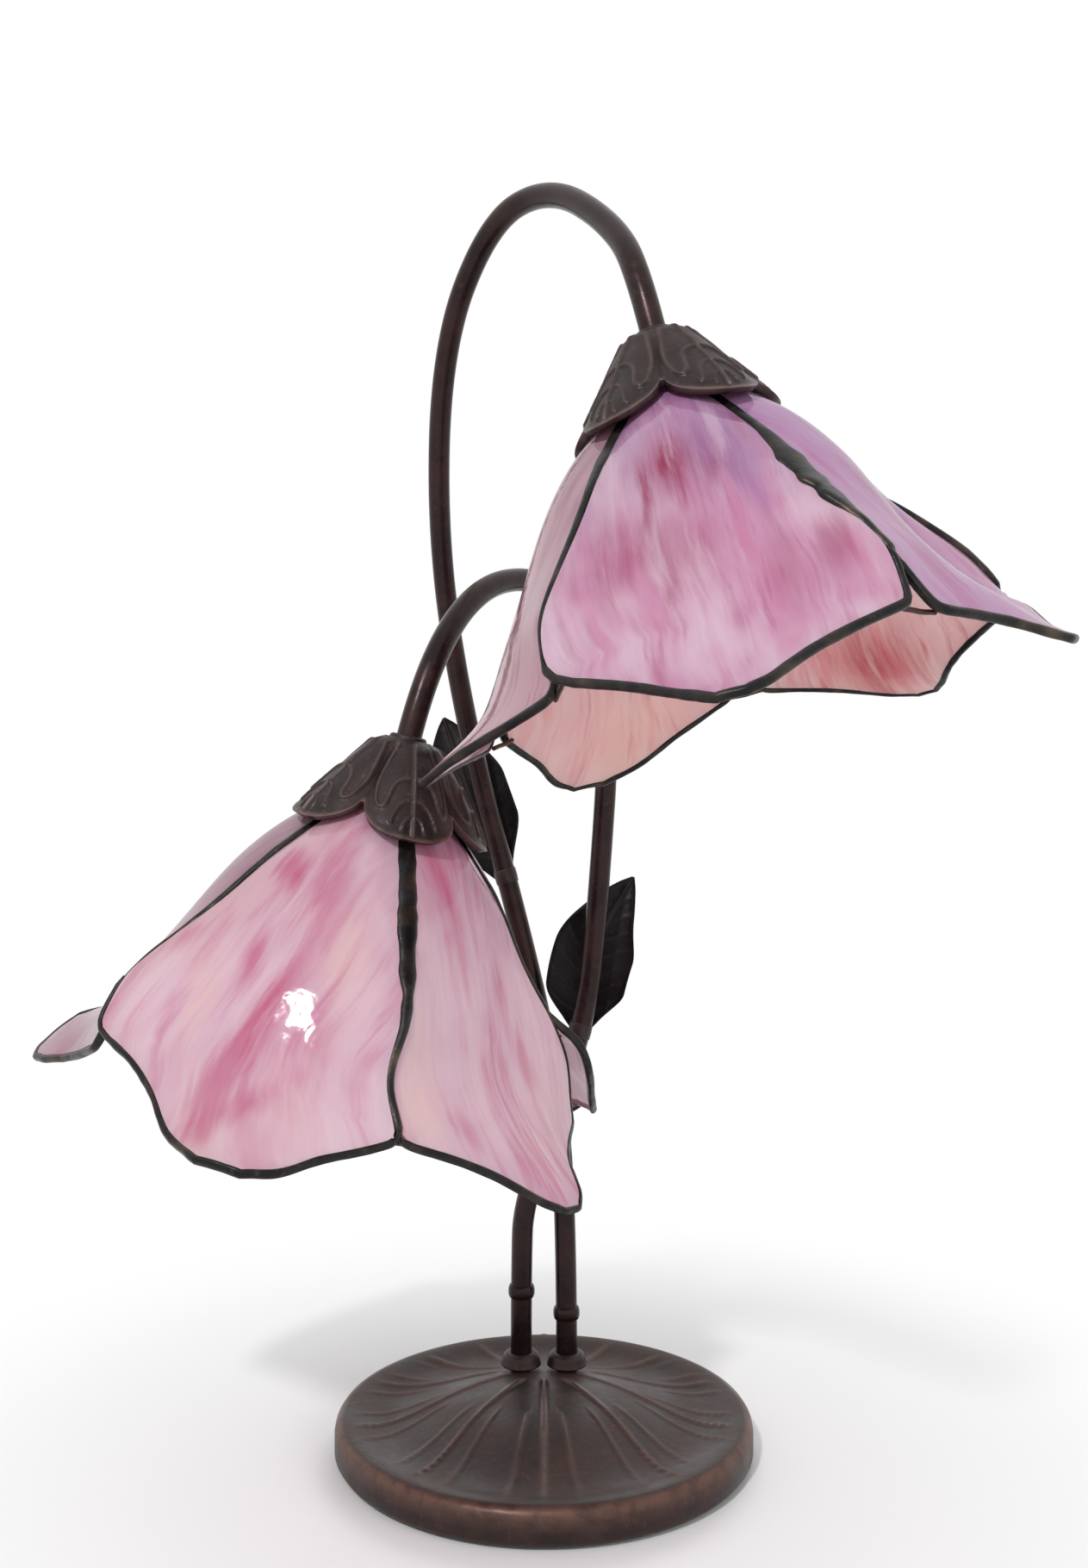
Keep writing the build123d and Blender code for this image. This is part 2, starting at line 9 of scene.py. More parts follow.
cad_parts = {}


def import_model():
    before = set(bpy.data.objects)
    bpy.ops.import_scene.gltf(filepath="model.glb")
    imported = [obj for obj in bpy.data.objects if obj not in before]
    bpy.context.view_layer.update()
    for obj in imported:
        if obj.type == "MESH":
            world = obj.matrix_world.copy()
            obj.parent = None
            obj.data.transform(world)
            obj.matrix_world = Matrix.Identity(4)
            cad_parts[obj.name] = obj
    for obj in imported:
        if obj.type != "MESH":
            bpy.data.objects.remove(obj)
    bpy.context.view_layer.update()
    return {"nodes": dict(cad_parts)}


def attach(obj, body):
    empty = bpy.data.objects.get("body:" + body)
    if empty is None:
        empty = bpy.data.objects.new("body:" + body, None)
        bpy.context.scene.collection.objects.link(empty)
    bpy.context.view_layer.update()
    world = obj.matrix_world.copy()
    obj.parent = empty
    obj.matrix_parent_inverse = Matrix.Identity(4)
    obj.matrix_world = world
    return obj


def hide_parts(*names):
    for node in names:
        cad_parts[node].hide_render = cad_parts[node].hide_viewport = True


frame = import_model()

# Sizes in millimetres, in the part's own frame
stem_radius = 4.75
stem_bore = 3.65
wire_radius = 2.9
stem_spacing = 20.5
stem_setback = 38.0
stem_bottom = 6.0
stem_tail = 14.0
stem_step = 2.0
stem_sides = 40
ring_at = {"tall": 34.0, "short": 44.0}
clip_at = {"upper": ("tall", 232.0), "lower": ("short", 165.0)}
tall_rise, short_rise = 70.0, 66.0
tall_lead_in, short_lead_in = 15.0, 19.0
tall_bends = [(7, 50.5, 136.5), (-12, 57, 219), (-34.5, 56, 299.5), (-48.5, 44.5, 386.5),
              (-45, 19.5, 472), (-22.5, -13.5, 515), (3, -42.5, 517.5), (26.5, -83, 486.5)]
short_bends = [(-9, 37.5, 95.5), (18.5, 38, 171), (24.5, 40, 227.5), (30, 33, 317.5),
               (16, 17, 356.5), (-5.5, -7, 369), (-28.5, -43.5, 357.5)]
seats = {"upper": ((38.0, -106.3, 442.9), (0.225, -0.055), -9.9),
         "lower": ((-49.9, -75.5, 301.4), (-0.221, 0.005), -16.7)}
petal_count = 5
half_pitch = math.pi / petal_count
petal_midline = [(16, 26), (34.5, 39.5), (52.5, 60.5), (67, 87), (80, 109.5), (95, 128), (111.5, 143)]
petal_crown = [(0, 2.5), (0.2, 7.5), (0.35, 8.2), (0.62, 5.0), (0.78, 9.0)]
petal_outline = [(0, 1), (0.25, 0.7), (0.5, 0.47), (0.75, 0.3), (0.9, 0.19), (1, 0.05)]
corner_at, split_at, widen_at = 0.78, 0.735, 0.64
glass_thickness = 2.4
glass_middle = glass_thickness / 2
seam_gap, notch_gap = 2.3, 7.0
ease_power = 1.6
bead_proud = 0.9
seam_least, seam_most, rim_outset = 1.6, 3.4, 0.8
tie_radius, tie_sag, tie_depth, tie_reach = 0.85, 0.8, 2.9, 0.97
tip_bend_power = 1.5
# Shares of a petal's length between which a corner's shift and a twist act, and how a shift fades across
shift_from, shift_until, shift_power = 0.3, 0.97, 1.5
twist_until, twist_half_width = 0.88, 20
inner_share = 0.985
calyx_ridge = [(8.6, 3.9), (12, 5.4), (16, 9), (19.8, 13.2), (26.2, 21.5), (31.6, 28.5), (35.5, 34.5),
               (37.2, 38.5)]
calyx_furrow = [(8.6, 3.9), (11, 5.4), (14.2, 9), (17.2, 13.2), (22.8, 21.5), (27.6, 28.5), (31.5, 34.5),
                (34, 38.5)]
calyx_wall = 2.0
calyx_bore, calyx_inside, lobe_radius = 5.0, 5.6, 31.0
lobe_notch_drop, lobe_end_drop, lobe_half_width = 29.3, 38.5, 18.5
# Millimetres to a unit of the glass texture, and the angle from which an edge is drawn sharp
texture_unit = 100
sharp_angle = math.radians(45)


def unit(v):
    """Vector or rows of vectors at length one."""
    v = np.asarray(v, float)
    return v / np.linalg.norm(v, axis=-1, keepdims=True)


def natural(xs, ys):
    """Smooth curve through points, as a function."""
    xs, ys = np.asarray(xs, float), np.asarray(ys, float)
    n, h = len(xs), np.diff(xs)
    a, b = np.eye(n), np.zeros(n)
    for i in range(1, n - 1):
        a[i, i - 1:i + 2] = h[i - 1], 2 * (h[i - 1] + h[i]), h[i]
        b[i] = 6 * ((ys[i + 1] - ys[i]) / h[i] - (ys[i] - ys[i - 1]) / h[i - 1])
    m = np.linalg.solve(a, b)

    def at(t):
        k = np.clip(np.searchsorted(xs, t) - 1, 0, n - 2)
        p, q, w = xs[k + 1] - t, t - xs[k], h[k]
        return ((m[k] * p ** 3 + m[k + 1] * q ** 3) / (6 * w)
                + (ys[k] / w - m[k] * w / 6) * p + (ys[k + 1] / w - m[k + 1] * w / 6) * q)
    return at


def eased(table):
    """Curve through a table's rows that never overshoots, as a function."""
    x, y = np.asarray(table, float).T
    d = np.diff(y) / np.diff(x)
    m = np.concatenate(([d[0]], np.zeros(len(x) - 2), [d[-1]]))
    for i in range(1, len(x) - 1):
        if d[i - 1] * d[i] > 0:
            m[i] = 2 * d[i - 1] * d[i] / (d[i - 1] + d[i])

    def at(t):
        t = np.clip(t, x[0], x[-1])
        k = np.clip(np.searchsorted(x, t) - 1, 0, len(x) - 2)
        h = x[k + 1] - x[k]
        u = (t - x[k]) / h
        return ((1 + 2 * u) * (1 - u) ** 2 * y[k] + u * (1 - u) ** 2 * h * m[k]
                + u * u * (3 - 2 * u) * y[k + 1] + u * u * (u - 1) * h * m[k + 1])
    return at


def step(t, low, high):
    """Smooth step from 0 at low to 1 at high."""
    t = np.clip((t - low) / (high - low), 0, 1)
    return t * t * (3 - 2 * t)


def bell(t):
    """Bell curve, 1 at nought and about a third at 1 and -1."""
    return np.exp(-t ** 2)


def distances(points):
    """Distance of each point along a row of points."""
    return np.concatenate(([0], np.cumsum(np.linalg.norm(np.diff(points, axis=0), axis=1))))


def full_turn(sides):
    """Angles of a number of sides round an axis."""
    return np.arange(sides) * 2 * math.pi / sides


def lump(*at):
    """Smooth noise, about -1 to 1, at a place."""
    return noise.noise(Vector(at))


def lumps(values, seed):
    """The same along a row of numbers."""
    return np.array([lump(v, seed, 0.5) for v in values])


def seat_axes(at, lean, turn):
    """Origin and axes of a shade: X along the first petal, Z up the stem."""
    z = unit((-lean[0], -lean[1], 1))
    x = np.array((0.0, -1.0, 0.0))
    x = unit(x - z * (x @ z))
    y = np.cross(z, x)
    c, s = math.cos(math.radians(turn)), math.sin(math.radians(turn))
    return np.asarray(at, float), np.stack((x * c + y * s, y * c - x * s, z))


def put(points, seat, angle=0.0):
    """Points of a shade, turned about its axis, in the part's frame."""
    origin, axes = seat
    c, s = math.cos(angle), math.sin(angle)
    turn = np.array(((c, s, 0), (-s, c, 0), (0, 0, 1)))
    return origin + (np.asarray(points) @ turn) @ axes


def placed(name, data):
    """New object of some data, put in the scene."""
    made = bpy.data.objects.new(name, data)
    bpy.context.collection.objects.link(made)
    return made


def make(name, verts, faces, body, material, nodes, uv=None, wear_and_highlight=None):
    """Mesh object in metres that rides on a body and stands for some nodes."""
    mesh = bpy.data.meshes.new(name)
    mesh.from_pydata((np.asarray(verts) / 1000).tolist(), [], faces)
    if uv is not None:
        layer = mesh.uv_layers.new(name="UVMap")
        index = np.empty(len(mesh.loops), int)
        mesh.loops.foreach_get("vertex_index", index)
        layer.data.foreach_set("uv", np.asarray(uv, float)[index].ravel())
    if wear_and_highlight is not None:
        layer = mesh.attributes.new("wear_and_highlight", "FLOAT", "POINT")
        layer.data.foreach_set("value", np.asarray(wear_and_highlight, float).ravel())
    edit = bmesh.new()
    edit.from_mesh(mesh)
    bmesh.ops.recalc_face_normals(edit, faces=edit.faces)
    edit.to_mesh(mesh)
    edit.free()
    mesh.polygons.foreach_set("use_smooth", [True] * len(mesh.polygons))
    mesh.set_sharp_from_angle(angle=sharp_angle)
    piece = placed(name, mesh)
    mesh.materials.append(material)
    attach(piece, body)
    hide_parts(*nodes)


def grid_faces(rows, cols, wrap, start=0):
    """Quads of a grid of points, joined round if it wraps."""
    last = cols if wrap else cols - 1
    return [(start + i * cols + j, start + i * cols + (j + 1) % cols,
             start + (i + 1) * cols + (j + 1) % cols, start + (i + 1) * cols + j)
            for i in range(rows - 1) for j in range(last)]


def capped(rows, sides):
    """Faces of a row of rings, closed at both ends."""
    ends = [tuple(range(start, start + sides)) for start in (0, (rows - 1) * sides)]
    return grid_faces(rows, sides, True) + ends


def shell(outer, inner, wrap=False):
    """Vertices and faces of a closed sheet between two grids."""
    rows, cols = outer.shape[:2]
    count = rows * cols
    verts = np.concatenate((outer.reshape(-1, 3), inner.reshape(-1, 3)))
    faces = grid_faces(rows, cols, wrap) + [f[::-1] for f in grid_faces(rows, cols, wrap, count)]
    last = cols if wrap else cols - 1
    for i in (0, rows - 1):
        faces += [(i * cols + j, i * cols + (j + 1) % cols, count + i * cols + (j + 1) % cols,
                   count + i * cols + j) for j in range(last)]
    if not wrap:
        for j in (0, cols - 1):
            faces += [(i * cols + j, (i + 1) * cols + j, count + (i + 1) * cols + j, count + i * cols + j)
                      for i in range(rows - 1)]
    return verts, faces


def sweep(points, across, up, half_width, half_depth, sides, square):
    """Rounded bar along points, closed at both ends."""
    turn = full_turn(sides)
    c, s = np.cos(turn), np.sin(turn)
    c, s = np.sign(c) * np.abs(c) ** square, np.sign(s) * np.abs(s) ** square
    rows = len(points)
    width = np.broadcast_to(half_width, rows)[:, None, None]
    depth = np.broadcast_to(half_depth, rows)[:, None, None]
    ring = (points[:, None] + across[:, None] * c[None, :, None] * width
            + up[:, None] * s[None, :, None] * depth)
    return ring.reshape(-1, 3), capped(rows, sides)


def tangents(points):
    """Way a row of points runs."""
    return unit(np.gradient(points, axis=0))


def pipe(points, radius, sides):
    """Round bar along points."""
    way = tangents(points)
    across = [unit(np.cross(way[0], (0.3, 1.0, 0.2)))]
    for t in way[1:]:
        across.append(unit(across[-1] - t * (across[-1] @ t)))
    across = np.array(across)
    return sweep(points, across, np.cross(way, across), radius, radius, sides, 1.0)


def bundle(parts):
    """Several closed meshes as one."""
    verts, faces, start = [], [], 0
    for v, f in parts:
        verts.append(v)
        faces += [tuple(i + start for i in face) for face in f]
        start += len(v)
    return np.concatenate(verts), faces


def lathe(profile, sides, relief=None):
    """Closed solid turned from a profile of radius and height, its last point joined to its first."""
    profile = np.asarray(profile, float)
    turn = full_turn(sides)
    radius = np.repeat(profile[:, :1], sides, 1)
    height = np.repeat(profile[:, 1:], sides, 1)
    if relief is not None:
        radius = radius + relief(turn[None, :], height)
    points = np.stack((radius * np.cos(turn), radius * np.sin(turn), height), -1)
    rows = len(profile)
    last = (rows - 1) * sides
    join = [(last + j, last + (j + 1) % sides, (j + 1) % sides, j) for j in range(sides)]
    return points.reshape(-1, 3), grid_faces(rows, sides, True) + join


def rounded(profile, radius, parts=5):
    """Closed profile with its corners rounded."""
    profile = np.asarray(profile, float)
    out = []
    for k, here in enumerate(profile):
        to_last, to_next = profile[k - 1] - here, profile[(k + 1) % len(profile)] - here
        cut = min(radius, 0.45 * np.linalg.norm(to_last), 0.45 * np.linalg.norm(to_next))
        a, b = here + unit(to_last) * cut, here + unit(to_next) * cut
        for t in np.linspace(0, 1, parts):
            out.append((1 - t) ** 2 * a + 2 * t * (1 - t) * here + t * t * b)
    return np.array(out)


# Materials

def tone(r, g, b):
    """Colour from display values of 0 to 255."""
    return (*[((v / 255 + 0.055) / 1.055) ** 2.4 if v > 10 else v / 3294.6 for v in (r, g, b)], 1.0)


class Tree:
    """Node tree of a new material or world, with short ways to add nodes."""

    def __init__(self, owner):
        self.owner = owner
        owner.use_nodes = True
        self.tree = owner.node_tree
        self.tree.nodes.clear()

    def add(self, kind, inputs=None, **settings):
        made = self.tree.nodes.new("ShaderNode" + kind)
        for key, value in settings.items():
            setattr(made, key, value)
        for key, value in (inputs or {}).items():
            if isinstance(value, bpy.types.NodeSocket):
                self.tree.links.new(value, made.inputs[key])
            else:
                made.inputs[key].default_value = value
        return made.outputs

    def math(self, operation, a, b, clamp=False):
        return self.add("Math", {0: a, 1: b}, operation=operation, use_clamp=clamp)[0]

    def vector(self, operation, a, b):
        return self.add("VectorMath", {0: a, 1: b}, operation=operation)[0]

    def remap(self, value, low, high, to_low=0.0, to_high=1.0):
        return self.add("MapRange", {0: value, 1: low, 2: high, 3: to_low, 4: to_high},
                        interpolation_type="SMOOTHSTEP")[0]

    def mix(self, share, a, b):
        return self.add("Mix", {0: share, 6: a, 7: b}, data_type="RGBA")[2]

    def noise(self, vector, scale, detail=3.0, roughness=0.55, distortion=0.0):
        return self.add("TexNoise", {"Vector": vector, "Scale": scale, "Detail": detail,
                                     "Roughness": roughness, "Distortion": distortion})[0]

    def bump(self, height, distance, strength, normal=None):
        inputs = {"Height": height, "Distance": distance, "Strength": strength}
        if normal is not None:
            inputs["Normal"] = normal
        return self.add("Bump", inputs)[0]

    def seen(self):
        """One for rays of the camera, of mirrors and of glass, else nought."""
        rays = self.add("LightPath")
        shown = self.math("MAXIMUM", rays["Is Glossy Ray"], rays["Is Transmission Ray"])
        return self.math("MAXIMUM", rays["Is Camera Ray"], shown)

    def finish(self, shader, output="OutputMaterial"):
        self.add(output, {"Surface": shader})
        return self.owner


def glass(name, seed, angle, tones, streak, peach, top, strokes):
    """Streaky opal glass. Tones run pale, soft, pink, deep, then peach and top. The top tone, toward the
    calyx, is partly the glass's own colour and partly painted shade.
    """
    t = Tree(bpy.data.materials.new(name))
    pale, soft, pink, deep, warm, crown = (tone(*display) for display in tones)
    uv = t.add("UVMap", uv_map="UVMap")[0]
    turned = t.add("Mapping", {"Vector": uv, "Location": (seed * 3.7, seed * 1.9, seed),
                               "Rotation": (0, 0, math.radians(angle))})[0]
    wander = t.add("TexNoise", {"Vector": turned, "Scale": 1.8, "Detail": 1.0})[1]
    wander = t.vector("SUBTRACT", wander, (0.5, 0.5, 0.5))
    wander = t.add("VectorMath", {0: wander, 3: 0.1}, operation="SCALE")[0]
    at = t.vector("ADD", turned, wander)

    def stretched(across, along, aside=0.0):
        return t.vector("ADD", t.vector("MULTIPLY", at, (across, along, 1)), (aside, aside, aside))

    cloud = t.noise(stretched(2.6, 1.7), 1.0, 3.0, 0.55)
    bands = t.noise(stretched(10.0, 1.3, 5.0), 1.0, 5.0, 0.6)
    veins = t.noise(stretched(19.0, 1.7, 11.0), 1.0, 5.0, 0.6)
    fibres = t.noise(stretched(46.0, 4.0, 17.0), 1.0, 3.0, 0.6)
    colour = t.mix(t.remap(cloud, 0.36, 0.62), pale, soft)
    warm_share = t.remap(t.noise(stretched(2.4, 1.3, 23.0), 1.0, 2.0), 0.42, 0.64, 0.0, peach)
    colour = t.mix(warm_share, colour, warm)
    heavy = t.math("MULTIPLY", t.remap(bands, 0.48, 0.62), t.remap(cloud, 0.38, 0.6, 0.45, 1.0))
    colour = t.mix(t.math("MULTIPLY", heavy, streak, True), colour, pink)
    along = t.add("SeparateXYZ", {0: uv})[1]
    # Toward the calyx the colour turns to the top tone: partly the glass's own colour, partly painted shade
    top_and_shade_share = t.math("MULTIPLY", t.remap(along, 0.1, 0.95, top, 0.0), t.remap(veins, 0.35, 0.6, 0.6, 1.0))
    colour = t.mix(top_and_shade_share, colour, crown)
    kinds = {"pale": pale, "deep": deep, "warm": warm, "top": crown}
    feather = t.math("MULTIPLY", t.math("SUBTRACT", t.math("ADD", bands, veins), 1.0), 2.6)
    for kind, u, v, wide, long, way, strength in strokes:
        away = t.vector("SUBTRACT", uv, (u, v, 0))
        away = t.add("VectorRotate", {"Vector": away, "Angle": math.radians(way)}, rotation_type="Z_AXIS")[0]
        away = t.vector("MULTIPLY", away, (1 / wide, 1 / long, 0))
        spread = t.math("ADD", t.add("VectorMath", {0: away}, operation="LENGTH")[1], feather)
        colour = t.mix(t.remap(spread, 0.0, 1.4, strength, 0.0), colour, kinds[kind])
    sharp = t.math("MULTIPLY", t.remap(veins, 0.53, 0.66, 0.0, 0.75), t.remap(cloud, 0.42, 0.58, 0.3, 1.0))
    colour = t.mix(t.math("MULTIPLY", sharp, streak, True), colour, deep)
    wisp = t.remap(t.noise(stretched(14.0, 1.4, 31.0), 1.0, 5.0, 0.6), 0.52, 0.68, 0.0, 0.5)
    colour = t.mix(wisp, colour, pale)
    colour = t.mix(t.remap(fibres, 0.35, 0.65, 0.0, 0.16), colour, soft)
    ripple = t.noise(uv, 13.0, 2.0, 0.5, 0.2)
    wave = t.noise(uv, 2.6, 1.0)
    normal = t.bump(ripple, 0.0009, 0.26, t.bump(wave, 0.006, 0.22))
    body = t.add("BsdfPrincipled", {"Base Color": colour, "Roughness": 0.075, "IOR": 1.5,
                                    "Normal": normal})[0]
    through = t.add("BsdfTranslucent", {"Color": t.mix(0.4, colour, warm)})[0]
    return t.finish(t.add("MixShader", {0: 0.3, 1: body, 2: through})[0])


def metal(name, dark, mid, edge, metallic, rough, grain=70.0, relief=0.00025, edge_lightening=False, sheen=0.5):
    """Dark patinated metal, mottled, with edges lightened where the mesh says so: rubbed metal, and on the
    calyx rims partly a painted highlight.
    """
    t = Tree(bpy.data.materials.new(name))
    at = t.add("TexCoord")["Object"]
    patches = t.noise(at, 55.0, 4.0, 0.6)
    specks = t.noise(at, grain * 6, 3.0, 0.65)
    colour = t.mix(t.remap(patches, 0.35, 0.68), dark, mid)
    colour = t.mix(t.remap(specks, 0.55, 0.8, 0.0, 0.35), colour, edge)
    if edge_lightening:
        # Lighter where the mesh marks it: rubbed metal, and on the calyx rims partly a painted highlight
        wear_and_highlight = t.add("Attribute", attribute_name="wear_and_highlight")["Fac"]
        share = t.math("MULTIPLY", wear_and_highlight, t.remap(t.noise(at, 160.0, 3.0), 0.3, 0.6, 0.45, 1.0), True)
        colour = t.mix(share, colour, edge)
    roughness = t.remap(patches, 0.3, 0.7, rough - 0.07, rough + 0.1)
    height = t.math("ADD", t.noise(at, grain * 4, 3.0, 0.6), t.math("MULTIPLY", patches, 1.4))
    normal = t.bump(height, relief, 0.55)
    return t.finish(t.add("BsdfPrincipled", {"Base Color": colour, "Metallic": metallic, "Normal": normal,
                                             "Roughness": roughness, "Specular IOR Level": sheen})[0])


def plain(name, low, high, rough, metallic=0.0, scale=120.0, relief=0.0002, clear=0.0):
    """Plain finish with a little mottling."""
    t = Tree(bpy.data.materials.new(name))
    at = t.add("TexCoord")["Object"]
    patches = t.noise(at, scale, 4.0, 0.6)
    colour = t.mix(t.remap(patches, 0.3, 0.7), low, high)
    normal = t.bump(t.noise(at, scale * 5, 3.0), relief, 0.5)
    return t.finish(t.add("BsdfPrincipled", {"Base Color": colour, "Metallic": metallic, "Roughness": rough,
                                             "Transmission Weight": clear, "Normal": normal})[0])


bronze = metal("bronze", tone(30, 20, 20), tone(48, 33, 32), tone(112, 90, 84), 0.45, 0.42, edge_lightening=True)
leaf_bronze = metal("leaf_bronze", tone(21, 18, 19), tone(32, 27, 28), tone(70, 60, 60), 0.45, 0.42,
                    edge_lightening=True, sheen=0.3)
stem_bronze = metal("stem_bronze", tone(36, 23, 24), tone(54, 36, 35), tone(92, 64, 58), 0.45, 0.27,
                    relief=0.00012, sheen=0.3)
base_bronze = metal("base_bronze", tone(42, 29, 28), tone(62, 44, 40), tone(120, 86, 72), 0.45, 0.42,
                    edge_lightening=True)
solder = metal("solder", tone(20, 19, 19), tone(42, 39, 38), tone(106, 90, 72), 0.6, 0.38, grain=50.0,
               relief=0.0006, edge_lightening=True)
copper = metal("copper_wire", tone(58, 42, 36), tone(92, 66, 54), tone(150, 112, 90), 0.7, 0.4)
brass = plain("brass_fitting", tone(150, 122, 72), tone(182, 152, 96), 0.32, 1.0)
bulb_metal = plain("bulb_metal", tone(176, 158, 116), tone(206, 190, 150), 0.28, 1.0)
frosted = plain("bulb_glass", tone(238, 236, 230), tone(250, 249, 245), 0.35, scale=40.0, clear=0.25)
moulding = plain("socket_moulding", tone(48, 40, 37), tone(62, 52, 48), 0.3)
black = plain("moulded_black", tone(30, 30, 31), tone(44, 44, 45), 0.5)
steel = plain("steel_fastener", tone(150, 151, 153), tone(182, 183, 185), 0.35, 1.0)
plate = plain("bottom_plate", tone(40, 40, 41), tone(54, 54, 55), 0.5)
felt = plain("felt", tone(52, 70, 54), tone(74, 94, 74), 0.95, scale=600.0, relief=0.0012)
cover = plain("wire_cover", tone(96, 80, 60), tone(118, 100, 76), 0.55)

# Shades: petals, solder lines and ties

mid_points = np.array(petal_midline, float)
mid_share = distances(mid_points)
mid_length = mid_share[-1]
mid_share /= mid_length
mid_radius, mid_drop = natural(mid_share, mid_points[:, 0]), natural(mid_share, mid_points[:, 1])
crown_of = eased(petal_crown)
pitch = 2 * half_pitch
seat_of = {light: seat_axes(*setting) for light, setting in seats.items()}

# Tones of each kind of glass, as display values: pale, soft, pink, deep, warm, then top. The top tones are
# the glass's colour near the calyx, darkened partly as painted shade there.
glass_tones = {
    "mauve": ((214, 178, 208), (200, 152, 194), (196, 124, 174), (176, 84, 140),
              (212, 160, 188), (164, 114, 176)),
    "rose": ((230, 204, 220), (212, 154, 188), (206, 118, 160), (158, 36, 86),
             (218, 160, 184), (160, 110, 164)),
    "blush": ((236, 210, 222), (220, 180, 202), (212, 128, 164), (202, 82, 130),
              (240, 208, 202), (198, 126, 166)),
    "dusty": ((208, 172, 186), (194, 152, 170), (184, 128, 152), (162, 94, 126),
              (222, 178, 182), (150, 112, 130)),
    # Peach glass: the back petals' own peach, made brighter as painted light shining through them from
    # behind
    "peach": ((250, 231, 229), (244, 208, 208), (234, 158, 166), (198, 74, 92),
              (250, 212, 202), (232, 176, 184)),
}
lobe_outline = [(0, 1), (0.25, 0.62), (0.5, 0.44), (0.75, 0.36), (0.9, 0.28), (1, 0.1)]
blunt_outline = [(0, 1), (0.25, 0.8), (0.5, 0.6), (0.75, 0.44), (0.9, 0.3), (1, 0.1)]
broad_outline = [(0, 1), (0.25, 0.86), (0.5, 0.72), (0.75, 0.58), (0.9, 0.44), (1, 0.2)]
hollow_outline = [(0, 1), (0.25, 0.64), (0.5, 0.36), (0.75, 0.22), (0.9, 0.16), (1, 0.05)]
# Each petal: its tip's bend sideways and out, and its corners' shifts across and up.
# Then, where it has them, its outlines, soft corners, twist, droop and sink.
# A sink is a depth, then where it lies along and how far it spreads, and the same across.
# Last its glass: tones, lean of the streaks, and the shares of peach, top colour and streaks. The top colour
# darkens the glass toward the calyx, partly as painted shade.
looks = {
    ("upper", 1): dict(tip=(3, 2), left=(-3, 1.5), right=(5.3, 1.5), soft=(0.055, 0.008),
                       glass="rose", angle=3, peach=0.15, top=0.75, streak=0.45),
    ("upper", 2): dict(tip=(0, 0), left=(4.9, -1.8), right=(7, 4), sink=(13, 0.66, 0.17, 0.4, 0.45),
                       glass="mauve", angle=-8, peach=0.15, top=0.6, streak=0.9),
    # This petal and the next are seen from inside: their bright peach glass partly paints light shining
    # through them
    ("upper", 3): dict(tip=(-5, 2), left=(9.4, 4.4), right=(0, 0),
                       glass="peach", angle=12, peach=0.6, top=0.2, streak=0.9),
    ("upper", 4): dict(tip=(9, -6), left=(0, 0), right=(-3.4, -1.6), outline=blunt_outline,
                       glass="peach", angle=-6, peach=0.7, top=0.2, streak=0.5),
    # This petal faces away from the lamps: its darker dusty glass and top share partly paint its shade
    ("upper", 5): dict(tip=(0, 3.5), left=(-3.3, -4.6), right=(7.5, 0.8),
                       glass="dusty", angle=5, peach=0.5, top=0.6, streak=0.8),
    ("lower", 1): dict(tip=(17, 6), left=(-1.5, 6.6), right=(4.5, -1.5), sink=(-1.7, 0.55, 0.1, 0, 9),
                       outline=lobe_outline, right_outline=blunt_outline, soft=(0.03, 0.02),
                       glass="blush", angle=-8, peach=0.5, top=0.3, streak=0.5),
    ("lower", 2): dict(tip=(3, -1), left=(0.8, -1.5), right=(-4.5, -2.3), sink=(6, 0.45, 0.28, 0, 9),
                       right_outline=hollow_outline,
                       glass="blush", angle=-4, peach=0.5, top=0.4, streak=0.55),
    # This petal's inside, seen here, lies in shade: its darker dusty glass and top share partly paint that
    # shade
    ("lower", 3): dict(tip=(6, 14), left=(3, 13), right=(-4, -9), droop=18.0, outline=broad_outline,
                       soft=(0.05, 0.02), glass="dusty", angle=6, peach=0.3, top=0.5, streak=0.8),
    ("lower", 4): dict(tip=(0, 0), left=(-4, -9), right=(0, -5),
                       glass="rose", angle=-4, peach=0.3, top=0.4, streak=0.8),
    ("lower", 5): dict(tip=(0, -3.5), left=(0, -5), right=(1.1, -2), twist=5.0,
                       glass="dusty", angle=8, peach=0.3, top=0.7, streak=0.8),
}
